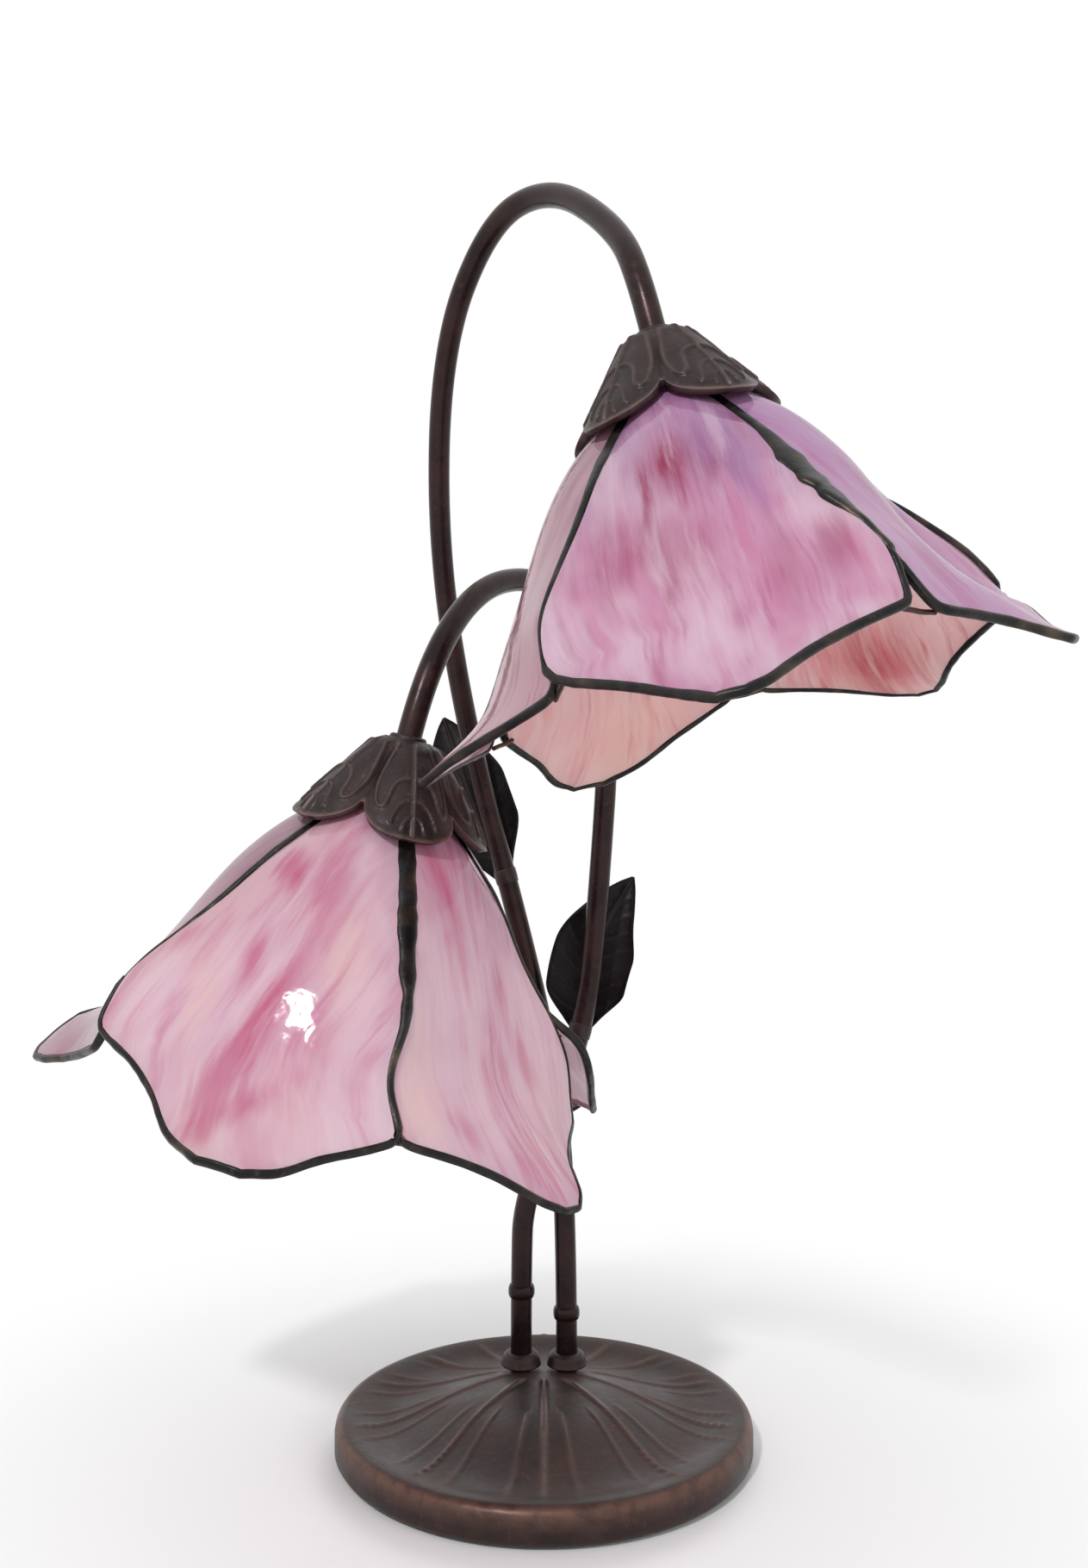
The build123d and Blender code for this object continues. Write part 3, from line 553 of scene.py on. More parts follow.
# Strokes of colour: tone, place across and along, half width, half length, lean, strength
strokes = {
    ("upper", 1): [("deep", -0.04, 0.52, 0.13, 0.18, -7, 1.0), ("deep", 0.11, 0.57, 0.05, 0.1, -10, 0.75),
                   ("deep", -0.17, 0.86, 0.2, 0.2, -7, 0.6), ("deep", -0.11, 1.05, 0.03, 0.12, -8, 0.5),
                   ("deep", -0.36, 1.11, 0.03, 0.07, 0, 0.4), ("deep", 0.21, 1.06, 0.06, 0.2, -7, 0.4),
                   ("deep", 0.37, 0.98, 0.06, 0.12, -7, 0.55), ("pale", -0.45, 1.13, 0.12, 0.12, -10, 0.9),
                   ("pale", -0.02, 1.22, 0.07, 0.2, -9, 0.3), ("pale", -0.23, 1.24, 0.12, 0.1, 0, 0.7),
                   ("pale", -0.25, 0.46, 0.06, 0.15, -3, 0.5), ("top", 0.14, 0.46, 0.14, 0.3, 15, 0.8)],
    ("upper", 2): [("deep", 0.04, 0.38, 0.05, 0.12, 18, 0.5), ("deep", 0.15, 0.59, 0.04, 0.12, 30, 0.5),
                   ("deep", -0.2, 0.85, 0.05, 0.25, -20, 0.5), ("deep", -0.3, 1.09, 0.05, 0.15, -20, 0.4),
                   ("warm", 0.42, 0.98, 0.1, 0.32, 8, 1.0)],
    ("upper", 3): [("deep", 0.06, 1.3, 0.17, 0.22, 0, 0.85)],
    ("lower", 1): [("deep", -0.1, 0.46, 0.06, 0.1, 20, 0.9), ("deep", 0.04, 0.45, 0.06, 0.3, 13, 0.6),
                   ("deep", -0.09, 0.81, 0.045, 0.14, 12, 0.75), ("deep", 0.05, 0.9, 0.06, 0.3, -3, 0.9),
                   ("deep", -0.01, 1.22, 0.06, 0.22, -17, 0.6), ("deep", 0.07, 1.29, 0.04, 0.26, -42, 0.7),
                   ("deep", 0.24, 0.98, 0.07, 0.09, -20, 0.45), ("deep", -0.37, 0.79, 0.05, 0.08, -8, 0.5),
                   ("pale", -0.36, 1.05, 0.17, 0.2, 0, 0.8), ("warm", 0.22, 0.76, 0.08, 0.18, 15, 0.5),
                   ("pale", 0.36, 0.94, 0.08, 0.2, 12, 0.6), ("pale", 0.32, 1.23, 0.12, 0.12, -30, 0.35),
                   ("pale", 0.06, 1.44, 0.12, 0.07, -60, 0.25), ("warm", -0.2, 0.95, 0.08, 0.16, 5, 0.6)],
    ("lower", 2): [("deep", -0.11, 0.41, 0.05, 0.26, 2, 0.85), ("deep", 0.12, 0.73, 0.05, 0.12, -4, 0.5),
                   ("deep", 0.18, 0.98, 0.05, 0.14, 20, 0.5), ("deep", -0.26, 1.21, 0.03, 0.07, 0, 0.5),
                   ("deep", 0.14, 1.3, 0.03, 0.14, -16, 0.5), ("warm", -0.36, 1.02, 0.09, 0.2, -10, 0.4),
                   ("pale", -0.1, 1.1, 0.12, 0.2, -20, 0.6), ("pale", 0.0, 1.3, 0.14, 0.16, -10, 0.7)],
}
rim_half = {"upper": 1.45, "lower": 1.1}
# Thick places of the seams: share of length, extra half width, spread
seam_blobs = {("upper", 1): [(0.42, 4.6, 0.12)], ("upper", 2): [(0.62, 1.4, 0.2)],
              ("upper", 5): [(0.16, 1.6, 0.12)],
              ("lower", 1): [(0.18, 1.5, 0.14), (0.42, 1.5, 0.18)]}
# Sway of the seams: shift across and up, share of length, spread
seam_sway = {("lower", 1): (-6.5, 0.0, 0.67, 0.1), ("lower", 2): (-3.0, -2.0, 0.45, 0.2)}
# Where a seam stops, if not at the split
seam_stop = {("upper", 1): 0.66, ("lower", 1): 0.765, ("lower", 2): 0.53, ("lower", 5): 0.66}
# Where a petal's edge starts to part from its place, by petal and side
parting = {("upper", 5, 1): 0.6, ("lower", 2, 1): 0.5, ("lower", 3, -1): 0.5, ("lower", 5, 1): 0.6}
# Gap at a notch, place of its tie, and lift of a seam off the glass, where they aren't the usual ones
notch_gaps = {("lower", 1): 3.2, ("upper", 5): 8.0}
tie_at = {("lower", 2): 0.62, ("lower", 5): 0.68}
seam_lift = {("upper", 2): 1.6}


def mid_frame(s):
    """Point of the middle line and the way out of the glass, as radius and height."""
    e = 1e-4
    tr = (mid_radius(s + e) - mid_radius(s - e)) / (2 * e)
    td = (mid_drop(s + e) - mid_drop(s - e)) / (2 * e)
    size = np.hypot(tr, td)
    return mid_radius(s), -mid_drop(s), td / size, tr / size


def edge_gap(s, notch):
    """From a glass edge to the middle of its seam."""
    opened = np.maximum(0, s - widen_at) / (corner_at - widen_at)
    return seam_gap + (notch - seam_gap) * opened ** ease_power


def petal_width(s, outline, notch):
    """Half width and crown of a petal."""
    joined = np.minimum(s, corner_at)
    radius, _, out, _ = mid_frame(joined)
    crown = crown_of(joined)
    half = (radius - crown * out) * math.tan(half_pitch) - edge_gap(joined, notch) / math.cos(half_pitch)
    free = outline(np.maximum(0, s - corner_at) / (1 - corner_at))
    return np.stack((half * free, crown * free ** ease_power))


def soft_width(s, spread, outline, notch):
    """The same with the corner rounded off over a share of the length."""
    weights = ((-1, 1), (-0.5, 4), (0, 6), (0.5, 4), (1, 1))
    return sum(petal_width(np.clip(s + shift * spread, 0, 1), outline, notch) * weight / 16
               for shift, weight in weights)


def before(number):
    """Number of the petal on the left of a petal."""
    return (number - 2) % petal_count + 1


def after(number):
    """Number of the petal on the right of a petal."""
    return number % petal_count + 1


def petal_points(light, number, s, w, depth):
    """Points of a petal at shares of its length and width, a depth under its outer face."""
    look = looks[light, number]
    s, w = np.broadcast_arrays(np.asarray(s, float), np.asarray(w, float))
    radius, height, out, rise = mid_frame(s)
    left_outline = look.get("outline", petal_outline)
    right_outline = look.get("right_outline", left_outline)
    left_soft, right_soft = look.get("soft", (0.02, 0.02))
    left_notch, right_notch = (notch_gaps.get((light, seam), notch_gap) for seam in (before(number), number))
    half, crown = np.where(w < 0, soft_width(s, left_soft, eased(left_outline), left_notch),
                           soft_width(s, right_soft, eased(right_outline), right_notch))
    late = np.maximum(0, (s - corner_at) / (1 - corner_at)) ** tip_bend_power
    sideways, outwards = look["tip"]
    sink, sink_at, sink_spread, side, side_spread = look.get("sink", (0.0, 0.5, 1.0, 0.0, 9.0))
    sink = sink * bell((s - sink_at) / sink_spread) * bell((w - side) / side_spread) * (1 - w * w)
    twist = look.get("twist", 0.0) * w * step(s, split_at, twist_until)
    twist = twist * np.minimum(1, half / twist_half_width)
    offset = -crown * w ** 2 - depth + outwards * late - sink - twist
    points = np.stack((radius + out * offset, w * half + sideways * late, height + rise * offset), -1)
    points = put(points, seat_of[light], (number - 1) * pitch)
    points[..., 2] -= look.get("droop", 0.0) * late * (1 + w) / 2
    for sign, (across, up), seam in ((-1, look["left"], before(number)), (1, look["right"], number)):
        share = np.maximum(0, (1 + sign * w) / 2) ** shift_power
        hold = step(s, parting.get((light, number, sign), shift_from), corner_at)
        hold = hold * (1 - step(s, corner_at, shift_until))
        points = points + (share * hold)[..., None] * np.array((across, 0, up))
        if (light, seam) in seam_sway:
            across, up, at, spread = seam_sway[light, seam]
            share = share * bell((s - at) / spread)
            points = points + share[..., None] * np.array((across, 0, up))
    return points


def petal_mesh(light, number):
    """Closed sheet of one petal with its texture coordinates."""
    rows = np.concatenate((np.linspace(0, corner_at, 61)[:-1], np.linspace(corner_at, 1, 40)))
    cols = np.sin(np.linspace(-1, 1, 41) * math.pi / 2 * 0.92) / math.sin(math.pi / 2 * 0.92)
    s, w = np.meshgrid(rows, cols, indexing="ij")
    outer = petal_points(light, number, s, w, 0.0)
    inner = petal_points(light, number, s, w * inner_share, glass_thickness)
    half = petal_width(s, eased(petal_outline), notch_gap)[0]
    flat = np.stack((w * half / texture_unit, s * mid_length / texture_unit), -1).reshape(-1, 2)
    verts, faces = shell(outer, inner)
    return verts, faces, np.concatenate((flat, flat))


def seam_mesh(light, number, seed):
    """Lumpy solder line between a petal and the next one."""
    s = np.linspace(0.0, seam_stop.get((light, number), split_at) + 0.012, 130)
    depth = glass_middle - seam_lift.get((light, number), 0.0) * step(s, 0.3, 0.5)
    left = petal_points(light, number, s, 1.0, depth)
    right = petal_points(light, after(number), s, -1.0, depth)
    points, across = (left + right) / 2, right - left
    way = tangents(points)
    half = np.minimum(np.linalg.norm(across, axis=1) / 2, seam_most)
    across = unit(across - way * np.sum(across * way, 1)[:, None])
    place = s * mid_length
    wide = half + 0.2 + 0.45 * lumps(place / 11, seed) + 0.25 * lumps(place / 4, seed + 9)
    for at, extra, spread in seam_blobs.get((light, number), ()):
        wide += extra * bell((s - at) / spread) * (1 + 0.5 * lumps(place / 6, seed + 3))
    deep = glass_middle + bead_proud + 0.3 * lumps(place / 8, seed + 4)
    taper = np.minimum(1, (s[-1] - s) / 0.03 + 0.45)
    wide = np.maximum(wide, seam_least)
    return sweep(points, across, np.cross(way, across), wide * taper, deep * taper, 22, 0.8)


def rim_mesh(light, number, seed):
    """Lumpy solder rim round a petal's free edge, from notch to notch."""
    sides = [np.concatenate((np.linspace(seam_stop.get((light, seam), split_at), corner_at, 16)[:-1],
                             np.linspace(corner_at, 1, 60))) for seam in (number, before(number))]
    s = np.concatenate((sides[0], np.ones(7), sides[1][::-1]))
    w = np.concatenate((np.ones(len(sides[0])), np.linspace(1, -1, 9)[1:-1], -np.ones(len(sides[1]))))
    edge, earlier = (petal_points(light, number, s - back, w, glass_middle) for back in (0.0, 0.01))
    inside, outside = (petal_points(light, number, s, np.clip(w + shift, -1, 1), glass_middle)
                       for shift in (-0.2, 0.2))
    way = tangents(edge)
    face = np.cross(edge - earlier, outside - inside)
    face = unit(face - way * np.sum(face * way, 1)[:, None])
    out = np.cross(face, way)
    middle = petal_points(light, number, 0.86, 0.0, glass_middle)
    out *= np.sign(np.median(np.sum(out * (edge - middle), 1)))
    place = distances(edge)
    wide = rim_half[light] + 0.25 * lumps(place / 9, seed) + 0.15 * lumps(place / 3.5, seed + 5)
    deep = glass_middle + bead_proud * 0.4 + 0.2 * lumps(place / 7, seed + 2)
    ends = np.minimum(1, np.minimum(place, place[-1] - place) / 6 + 0.4)
    return sweep(edge + out * rim_outset, out, face, wide * ends, deep * np.maximum(ends, 0.7), 20, 0.85)


def tie_mesh(light, number, seed):
    """Bowed tie wire across a notch, under the two rims."""
    under, at = glass_middle + tie_depth, tie_at.get((light, number), corner_at)
    start = petal_points(light, number, at, tie_reach, under)
    end = petal_points(light, after(number), at, -tie_reach, under)
    t = np.linspace(0, 1, 25)
    line = start + (end - start) * t[:, None]
    line[:, 2] -= tie_sag * t * (1 - t) - 0.25 * lumps(t * 3, seed)
    return pipe(line, tie_radius, 14)


for light in seats:
    seams, rims, ties = [], [], []
    for number in range(1, petal_count + 1):
        look = looks[light, number]
        seed = number * 7.3 + (40 if light == "lower" else 0)
        verts, faces, uv = petal_mesh(light, number)
        name = f"{light}_petal_{number}"
        material = glass(f"{name}_glass", seed, look["angle"], glass_tones[look["glass"]], look["streak"],
                         look["peach"], look["top"], strokes.get((light, number), ()))
        make(f"{name}_opal", verts, faces, "stand", material, [name], uv)
        seams.append(seam_mesh(light, number, seed + 1))
        rims.append(rim_mesh(light, number, seed + 2))
        ties.append(tie_mesh(light, number, seed + 3))
    for name, parts, slot, material in (("seams", seams, "solder", solder), ("rims", rims, "solder", solder),
                                        ("ties", ties, "copper_wire", copper)):
        verts, faces = bundle(parts)
        wear_and_highlight = [max(0, lump(*(v / 9))) ** 1.5 for v in verts] if material is solder else None
        make(f"{light}_{name}_bead", verts, faces, "stand", material, [f"{light}_{name}"], wear_and_highlight=wear_and_highlight)

# Calyxes: lobed cups with raised veins

ridge_table, furrow_table = np.array(calyx_ridge, float), np.array(calyx_furrow, float)
ridge_at = natural(ridge_table[:, 1], ridge_table[:, 0])
furrow_at = natural(furrow_table[:, 1], furrow_table[:, 0])
frame_vein = [(0, 17.5), (0.22, 18), (0.42, 20), (0.5, 23.5), (0.53, 27), (0.6, 29), (0.71, 28.3), (0.8, 25),
              (0.86, 20.5), (0.84, 15), (0.78, 10), (0.7, 6.5)]
hook_vein = [(0, 25), (0.16, 25.5), (0.28, 27.5), (0.35, 30.5), (0.38, 33.5)]
tip_vein = [(0, 30.5), (0.09, 31), (0.15, 32.6), (0.18, 35.5)]
mid_vein = [(0, 5), (0, 14), (0, 26), (0, 37)]


def fine(points, parts=60):
    """Smooth line through a few points."""
    points = np.asarray(points, float)
    run = np.arange(len(points))
    t = np.linspace(0, len(points) - 1, parts)
    return np.stack([natural(run, points[:, k])(t) for k in range(points.shape[1])], -1)


def calyx_radius(drop, share):
    """Radius of the calyx at a share from a lobe's middle to the notch."""
    return furrow_at(drop) + (ridge_at(drop) - furrow_at(drop)) * (1 - np.abs(share) ** 2.5)


def raised(x, h, line, width):
    """Height of a raised line near points, from 0 to 1."""
    gap = np.full(x.shape, 1e9)
    for (x0, h0), (x1, h1) in zip(line, line[1:]):
        dx, dh = x1 - x0, h1 - h0
        t = np.clip(((x - x0) * dx + (h - h0) * dh) / (dx * dx + dh * dh + 1e-12), 0, 1)
        gap = np.minimum(gap, np.hypot(x - x0 - t * dx, h - h0 - t * dh))
    return bell(gap / width)


def calyx_mesh():
    """Closed sheet of a calyx and how far each of its points is lightened: rubbed veins, and along the lobe
    edges a light line that is partly rubbed bronze and partly a painted highlight.
    """
    top = calyx_ridge[0][1]
    v, a = np.meshgrid(np.linspace(0, 1, 130), np.linspace(-1, 1, 97)[:-1], indexing="ij")
    turn = a * half_pitch
    reach = np.clip(np.abs(lobe_radius * turn) / lobe_half_width, 0, 1)
    edge = lobe_notch_drop + (lobe_end_drop - lobe_notch_drop) * (1 - reach ** 2.6) ** 0.7
    drop = top + v * (edge - top)
    radius = calyx_radius(drop, a)
    x = radius * turn
    relief = np.zeros(x.shape)
    for line, width, size in ((frame_vein, 0.6, 0.8), (hook_vein, 0.5, 0.7), (tip_vein, 0.45, 0.6),
                              (mid_vein, 0.65, 0.9)):
        points = fine(line)
        across = points[:, 0] * half_pitch * calyx_radius(points[:, 1], points[:, 0])
        for side in (1, -1):
            vein = np.stack((side * across, points[:, 1]), -1)
            relief = np.maximum(relief, size * raised(x, drop, vein, width))
    from_edge = (edge - drop) * 0.9
    rim = bell(from_edge / 1.2)
    raise_by = np.maximum(relief * step(from_edge, 0.2, 2.0) * step(drop, top, top + 3), 0.7 * rim)
    lean = (calyx_radius(drop + 0.2, a) - calyx_radius(drop - 0.2, a)) / 0.4
    out, rise = 1 / np.hypot(1, lean), lean / np.hypot(1, lean)
    # Veins lighter where rubbed; the lobe edges get a light line, partly rubbed bronze and partly a painted
    # highlight
    wear_and_highlight = np.clip(0.5 * relief ** 1.5 + rim * 0.9, 0, 1)
    far, low = radius + out * raise_by, -drop + rise * raise_by
    near, deep = radius - out * calyx_wall, -drop - rise * calyx_wall
    collar = np.linspace(calyx_bore, far[0].min() - 0.15, 5)[:-1, None] * np.ones(turn.shape[1])
    far, low = np.concatenate((collar, far)), np.concatenate((collar * 0 - top, low))
    near = np.concatenate((np.minimum(collar, calyx_inside), near))
    deep = np.concatenate((collar * 0 - top - calyx_wall, deep))
    wear_and_highlight = np.concatenate((collar * 0, wear_and_highlight))
    angles = [turn[0] + half_pitch + number * pitch for number in range(petal_count)]
    outer = np.concatenate([np.stack((far * np.cos(t), far * np.sin(t), low), -1) for t in angles], 1)
    inner = np.concatenate([np.stack((near * np.cos(t), near * np.sin(t), deep), -1) for t in angles], 1)
    edge_lightening = np.concatenate([wear_and_highlight] * petal_count, 1).ravel()
    verts, faces = shell(outer, inner, True)
    return verts, faces, np.concatenate((edge_lightening, edge_lightening * 0))


neck = rounded([(4.4, -4.6), (7.2, -4.6), (6.9, -3.0), (6.2, -2.4), (4.4, -2.4)], 0.6)
for light, seat in seat_of.items():
    verts, faces, edge_lightening = calyx_mesh()
    make(f"{light}_calyx_cast", put(verts, seat), faces, "stand", bronze, [f"{light}_calyx"],
         wear_and_highlight=edge_lightening)
    verts, faces = lathe(neck, 80)
    make(f"{light}_neck_turned", put(verts, seat), faces, "stand", bronze, [f"{light}_neck_collar"],
         wear_and_highlight=np.zeros(len(verts)))

# Stems


def flow(points, parts=24):
    """Smooth line that follows a route's points as a quadratic spline."""
    p = [np.asarray(q, float) for q in points]
    mids = [p[0]] + [(a + b) / 2 for a, b in zip(p[1:-2], p[2:-1])] + [p[-1]]
    out = []
    for a, b, c in zip(mids, p[1:-1], mids[1:]):
        for t in np.linspace(0, 1, parts, endpoint=False):
            out.append((1 - t) ** 2 * a + 2 * t * (1 - t) * b + t * t * c)
    out.append(p[-1])
    return np.array(out)


def even(points, spacing):
    """Points spaced evenly along a line."""
    run = distances(points)
    at = np.linspace(0, run[-1], int(run[-1] / spacing) + 1)
    return np.stack([np.interp(at, run, points[:, k]) for k in range(3)], -1)


stems = {}
for name, side, rise, bends, light, lead in (("tall", 1, tall_rise, tall_bends, "upper", tall_lead_in),
                                             ("short", -1, short_rise, short_bends, "lower", short_lead_in)):
    origin, axes = seat_of[light]
    foot = (side * stem_spacing / 2, stem_setback)
    route = [(*foot, stem_bottom), (*foot, rise), *bends,
             origin + axes[2] * lead, origin - axes[2] * stem_tail]
    stems[name] = even(flow(route), stem_step)
    outer, bore = (pipe(stems[name], radius, stem_sides)[0].reshape(-1, stem_sides, 3)
                   for radius in (stem_radius, stem_bore))
    verts, faces = shell(outer, bore, True)
    make(f"{name}_stem_tube", verts, faces, "stand", stem_bronze, [f"{name}_stem"])
    verts, faces = pipe(stems[name], wire_radius, 20)
    make(f"{name}_wire_pair", verts, faces, "stand", cover, [f"{name}_wire"])


def on_stem(name, distance):
    """Point and axes on a stem, a distance along it from its foot."""
    k = int(round(distance / stem_step))
    way = tangents(stems[name])[k]
    x = unit(np.array((1.0, 0, 0)) - way * way[0])
    return stems[name][k], np.stack((x, np.cross(way, x), way))


def along_stem(points, place):
    """Points of a turned piece set on a stem."""
    origin, axes = place
    return origin + points @ axes


bead = rounded([(4.3, 0), (5.4, 0.2), (5.95, 1.8), (5.95, 4.2), (5.4, 5.8), (4.3, 6)], 0.9)
for name, distance in ring_at.items():
    verts, faces = lathe(bead, 48)
    verts = along_stem(verts, on_stem(name, distance))
    make(f"{name}_ring_bead", verts, faces, "stand", stem_bronze, [f"{name}_stem_ring"])

# Leaves and their clips

leaf_outline = eased([(0, 2.2), (0.1, 7.8), (0.32, 18), (0.55, 18.5), (0.8, 11), (0.94, 4.5), (1, 0.6)])
leaf_steps = {"upper": [(-1, 0.3, 0), (-13, 4, 28), (-22.5, 6.5, 53), (-31, 11, 77)],
              "lower": [(1, 0.3, 0), (3.5, 4, 22), (11, 6.5, 46), (26, 11, 71)]}
leaf_thickness, leaf_crown, leaf_half, leaf_gap = 1.8, 3.5, 18.5, 1.8
leaf_rows, leaf_cols = 90, 61
vein_pitch, vein_width, vein_slope = 9.5, 0.75, 0.75


def leaf_mesh(start, steps):
    """Veined leaf along a middle line, and how far each of its points is rubbed."""
    line = start + fine(steps, leaf_rows)
    way = tangents(line)
    across = unit(np.array((1.0, 0, 0)) - way * way[:, :1])
    back = np.cross(way, across)
    w = np.linspace(-1, 1, leaf_cols)
    share = np.linspace(0, 1, leaf_rows)
    half = leaf_outline(share)
    s_grid, w_grid = np.meshgrid(share, w, indexing="ij")
    x = w_grid * half[:, None]
    length = distances(line)[-1]
    mid = bell(x / (1.5 - 0.8 * s_grid))
    phase = (s_grid * length - vein_slope * np.abs(x)) / vein_pitch
    side = bell((phase - np.round(phase)) * vein_pitch / vein_width) * step(np.abs(x), 0.6, 2.0)
    side *= step(half[:, None] - np.abs(x), 0.6, 2.5)
    rim = bell((half[:, None] - np.abs(x)) / 0.9)
    relief = np.maximum(np.maximum(mid, 0.3 * side), 0.7 * rim) * 0.8
    bowl = -leaf_crown * w_grid ** 2 * (half / leaf_half)[:, None]
    wave = 0.7 * np.sin(s_grid * 9 + 2 * w_grid) * np.abs(w_grid) * step(s_grid, 0.1, 0.3)
    base = line[:, None] + across[:, None] * x[..., None] + back[:, None] * (bowl + wave)[..., None]
    outer = base + back[:, None] * (relief * 0.35)[..., None]
    inner = base - back[:, None] * (leaf_thickness + relief)[..., None]
    verts, faces = shell(outer, inner)
    wear_and_highlight = np.clip(0.5 * rim + 0.35 * mid + 0.15 * side, 0, 1).ravel()
    return verts, faces, np.concatenate((wear_and_highlight, wear_and_highlight))


clip_profile = rounded([(4.6, 0), (5.1, 0.3), (5.25, 3.5), (5.1, 6.7), (4.6, 7)], 0.5)
for light, (name, distance) in clip_at.items():
    place = on_stem(name, distance)
    verts, faces = lathe(clip_profile, 48)
    verts = along_stem(verts, place)
    make(f"{light}_clip_band", verts, faces, "stand", bronze, [f"{light}_leaf_clip"],
         wear_and_highlight=np.full(len(verts), 0.1))
    start = place[0] + place[1][1] * (stem_radius + leaf_gap + leaf_thickness)
    verts, faces, wear_and_highlight = leaf_mesh(start, leaf_steps[light])
    make(f"{light}_leaf_cast", verts, faces, "stand", leaf_bronze, [f"{light}_leaf"], wear_and_highlight=wear_and_highlight)

# Base

pad_radius, pad_edge, vein_end, vein_height = 80, 84, 86, 0.9
base_top = natural([0, 36, 72, 83, 84.5], [21.0, 18.6, 13.5, 16.0, 16.0])


def base_mesh(sides=288, veins=13):
    """Round pad with raised veins that run from the stems to a rolled rim."""
    turn = full_turn(sides)
    radius = np.concatenate((np.linspace(0.01, pad_radius, 90), np.linspace(pad_radius, pad_edge, 12)[1:]))
    r, a = np.meshgrid(radius, turn, indexing="ij")
    x, y = r * np.cos(a), r * np.sin(a)
    dx, dy = x, y - stem_setback
    way = np.arctan2(dy, dx)
    far = np.hypot(dx, dy)
    phase = (way + math.pi / 2) / (2 * math.pi) * veins
    gap = np.abs(phase - np.round(phase)) * 2 * math.pi / veins * far
    main = bell(gap / (1.5 - 0.006 * far)) * step(far, 16, 24)
    fork = (way + math.pi / 2) / (2 * math.pi) * veins * 2 + 0.5
    fork_gap = np.abs(fork - np.round(fork)) * math.pi / veins * far
    branch = bell(fork_gap / 0.9) * step(far, 46, 62) * 0.6
    relief = np.maximum(main, branch) * step(vein_end - r, 4, 12)
    top = base_top(r) + relief * vein_height
    grid = np.stack((x, y, top), -1)
    wear_and_highlight = np.clip(relief * 0.45, 0, 1)
    edge = [(86.2, 15.3), (87.5, 13.4), (88, 11), (88, 7), (88, 3.6), (86.4, 1.6), (83, 1.5), (80.3, 1.5),
            (80.3, 3.0), (75, 3.0), (75, 9.0), (0.01, 16.0)]
    rings = [np.stack((q * np.cos(turn), q * np.sin(turn), np.full(sides, z)), -1) for q, z in edge]
    points = np.concatenate((grid, np.array(rings)))
    wear_and_highlight = np.concatenate((wear_and_highlight.ravel(), np.repeat([0.6, 0.5, 0.25] + [0] * 9, sides)))
    return points.reshape(-1, 3), capped(len(points), sides), wear_and_highlight


verts, faces, wear_and_highlight = base_mesh()
make("base_lily_pad", verts, faces, "stand", base_bronze, ["base_pad"], wear_and_highlight=wear_and_highlight)
collar = rounded([(4.4, 20.0), (9.2, 20.0), (8.6, 21.6), (7.9, 24.6), (6.4, 26.0), (4.4, 26.0)], 1.0)
for name, side in (("short", -1), ("tall", 1)):
    verts, faces = lathe(collar, 56)
    verts = verts + (side * stem_spacing / 2, stem_setback, 0)
    make(f"{name}_foot_turned", verts, faces, "stand", bronze, [f"{name}_foot_collar"],
         wear_and_highlight=np.full(len(verts), 0.15))

# Sockets and bulbs

thread_depth, thread_pitch = 0.32, 3.2
bulb_profile = fine([(5.5, -40.2), (5.6, -43.7), (9.5, -51), (15.2, -62), (17.5, -74.1), (15.9, -88),
                     (11.5, -101), (5.8, -112.5), (2.0, -118.2), (0.02, -119.6)], 80)


def thread(turn, height):
    """Rolled thread on a bulb's cap, fading out at both ends."""
    wave = thread_depth * np.sin(height * 2 * math.pi / thread_pitch + turn)
    return wave * step(height, -39, -36) * step(-height, 21.5, 23)


cap_profile = np.concatenate(([(0.01, -18.3), (2.3, -18.3), (2.5, -20.4), (4.4, -20.8), (5.6, -22)],
                              np.stack((np.full(60, 5.65), np.linspace(-22.3, -39.4, 60)), -1),
                              [(5.9, -40.0), (0.01, -40.1)]))
socket_profile = rounded([(4.85, -11.8), (9.2, -11.8), (10.5, -13.2), (10.5, -40.2), (9.9, -41.8),
                          (8.2, -41.8), (8.2, -16.7), (4.85, -16.7)], 0.8)
for light, seat in seat_of.items():
    for name, body, slot, material, solid in (
            ("bulb_glass", f"{light}_bulb", "bulb_glass", frosted, lathe(bulb_profile, 72)),
            ("bulb_cap", f"{light}_bulb", "bulb_metal", bulb_metal, lathe(cap_profile, 72, thread)),
            ("socket_body", "stand", "socket_moulding", moulding, lathe(socket_profile, 56))):
        verts, faces = solid
        make(f"{light}_{name}_turned", put(verts, seat), faces, body, material, [f"{light}_{name}"])

# Better finishes on the CAD pieces that stay

finishes = {"base_felt": felt, "base_plate": plate, "base_weight": base_bronze, "plate_screws": steel,
            "stem_nuts": steel, "wire_caps": black, "cord_bushing": black}
for light in seats:
    finishes |= {f"{light}_lock_nut": steel, f"{light}_socket_contact": brass, f"{light}_screw_shell": brass,
                 f"{light}_crown_cap": brass}
for name, material in finishes.items():
    data = frame["nodes"][name].data
    data.materials.clear()
    data.materials.append(material)

# Floor, light and camera

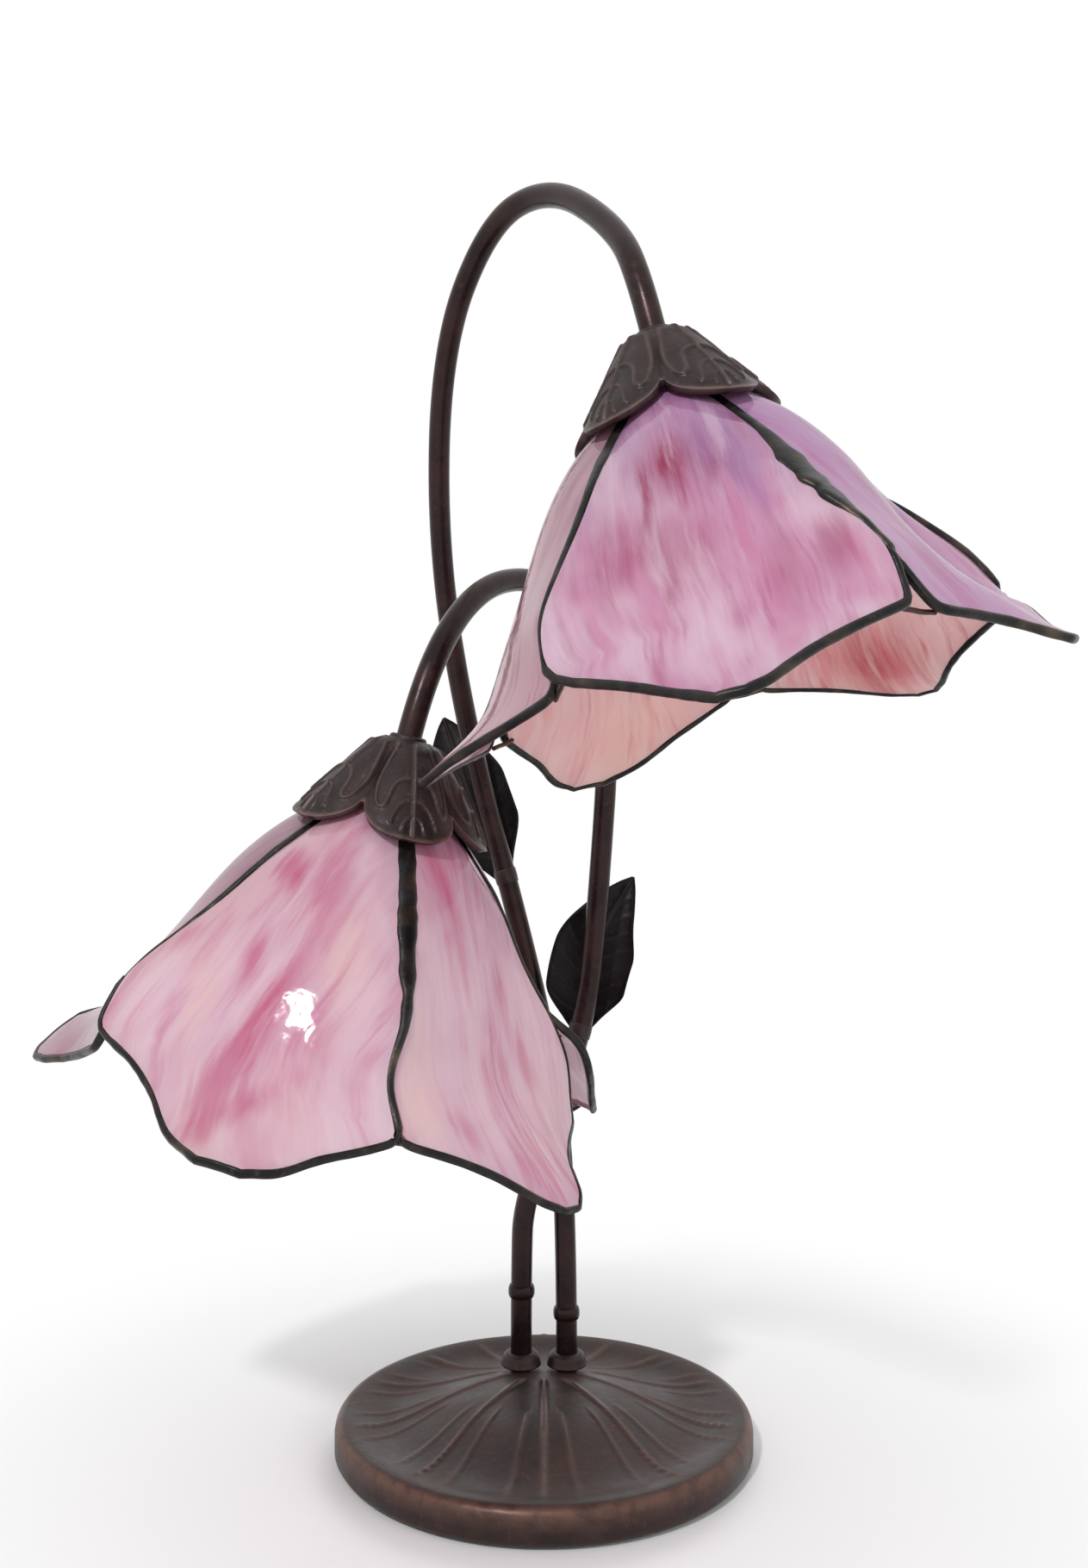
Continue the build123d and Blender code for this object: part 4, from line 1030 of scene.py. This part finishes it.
ground = Tree(bpy.data.materials.new("floor_pale"))
place = ground.add("TexCoord")["Object"]
away = ground.add("VectorMath", {0: place}, operation="LENGTH")[1]
fade = ground.math("MULTIPLY", ground.remap(away, 0.1, 0.34), ground.seen())
matt = ground.add("BsdfDiffuse", {"Color": (0.92, 0.92, 0.92, 1)})[0]
white = ground.add("Emission", {"Color": (1, 1, 1, 1), "Strength": 1.0})[0]
floor_material = ground.finish(ground.add("MixShader", {0: fade, 1: matt, 2: white})[0])
floor_mesh = bpy.data.meshes.new("floor")
floor_mesh.from_pydata([(-12, -12, 0), (12, -12, 0), (12, 12, 0), (-12, 12, 0)], [], [(0, 1, 2, 3)])
floor_mesh.materials.append(floor_material)
floor = placed("floor", floor_mesh)

sky = Tree(bpy.data.worlds.new("studio"))
strength = sky.remap(sky.seen(), 0.0, 1.0, 0.55, 1.0)
backing = sky.add("Background", {"Color": (1, 1, 1, 1), "Strength": strength})[0]
bpy.context.scene.world = sky.finish(backing, "OutputWorld")


def softbox(name, at, toward, wide, high, power, mirrored=False):
    """Area lamp that looks at a point, and whether shiny things mirror it."""
    data = bpy.data.lights.new(name, "AREA")
    data.shape, data.size, data.size_y, data.energy = "RECTANGLE", wide, high, power
    lamp = placed(name, data)
    lamp.location = at
    lamp.rotation_euler = (Vector(toward) - Vector(at)).to_track_quat("-Z", "Y").to_euler()
    lamp.visible_glossy = mirrored


softbox("key", (-0.48, -1.17, 1.31), (0, 0, 0.3), 0.11, 0.11, 11, True)
softbox("fill", (1.3, -1.1, 0.8), (0, 0, 0.3), 1.0, 1.0, 5)
softbox("back", (0.3, 1.4, 1.3), (0, 0, 0.3), 1.2, 0.8, 9)

# The photo's focal length and height in pixels, and the camera's distance and height in metres
photo_focal, photo_height = 1715, 1820
camera_distance, camera_height = 0.627, 0.281
camera_data = bpy.data.cameras.new("photo_camera")
camera_data.sensor_width = 36.0
camera_data.lens = camera_data.sensor_width * photo_focal / photo_height
camera = placed("photo_camera", camera_data)
camera.location = (0, -camera_distance, camera_height)
camera.rotation_euler = (math.pi / 2, 0, 0)
bpy.context.scene.camera = camera
bpy.context.scene.view_settings.view_transform = "Standard"
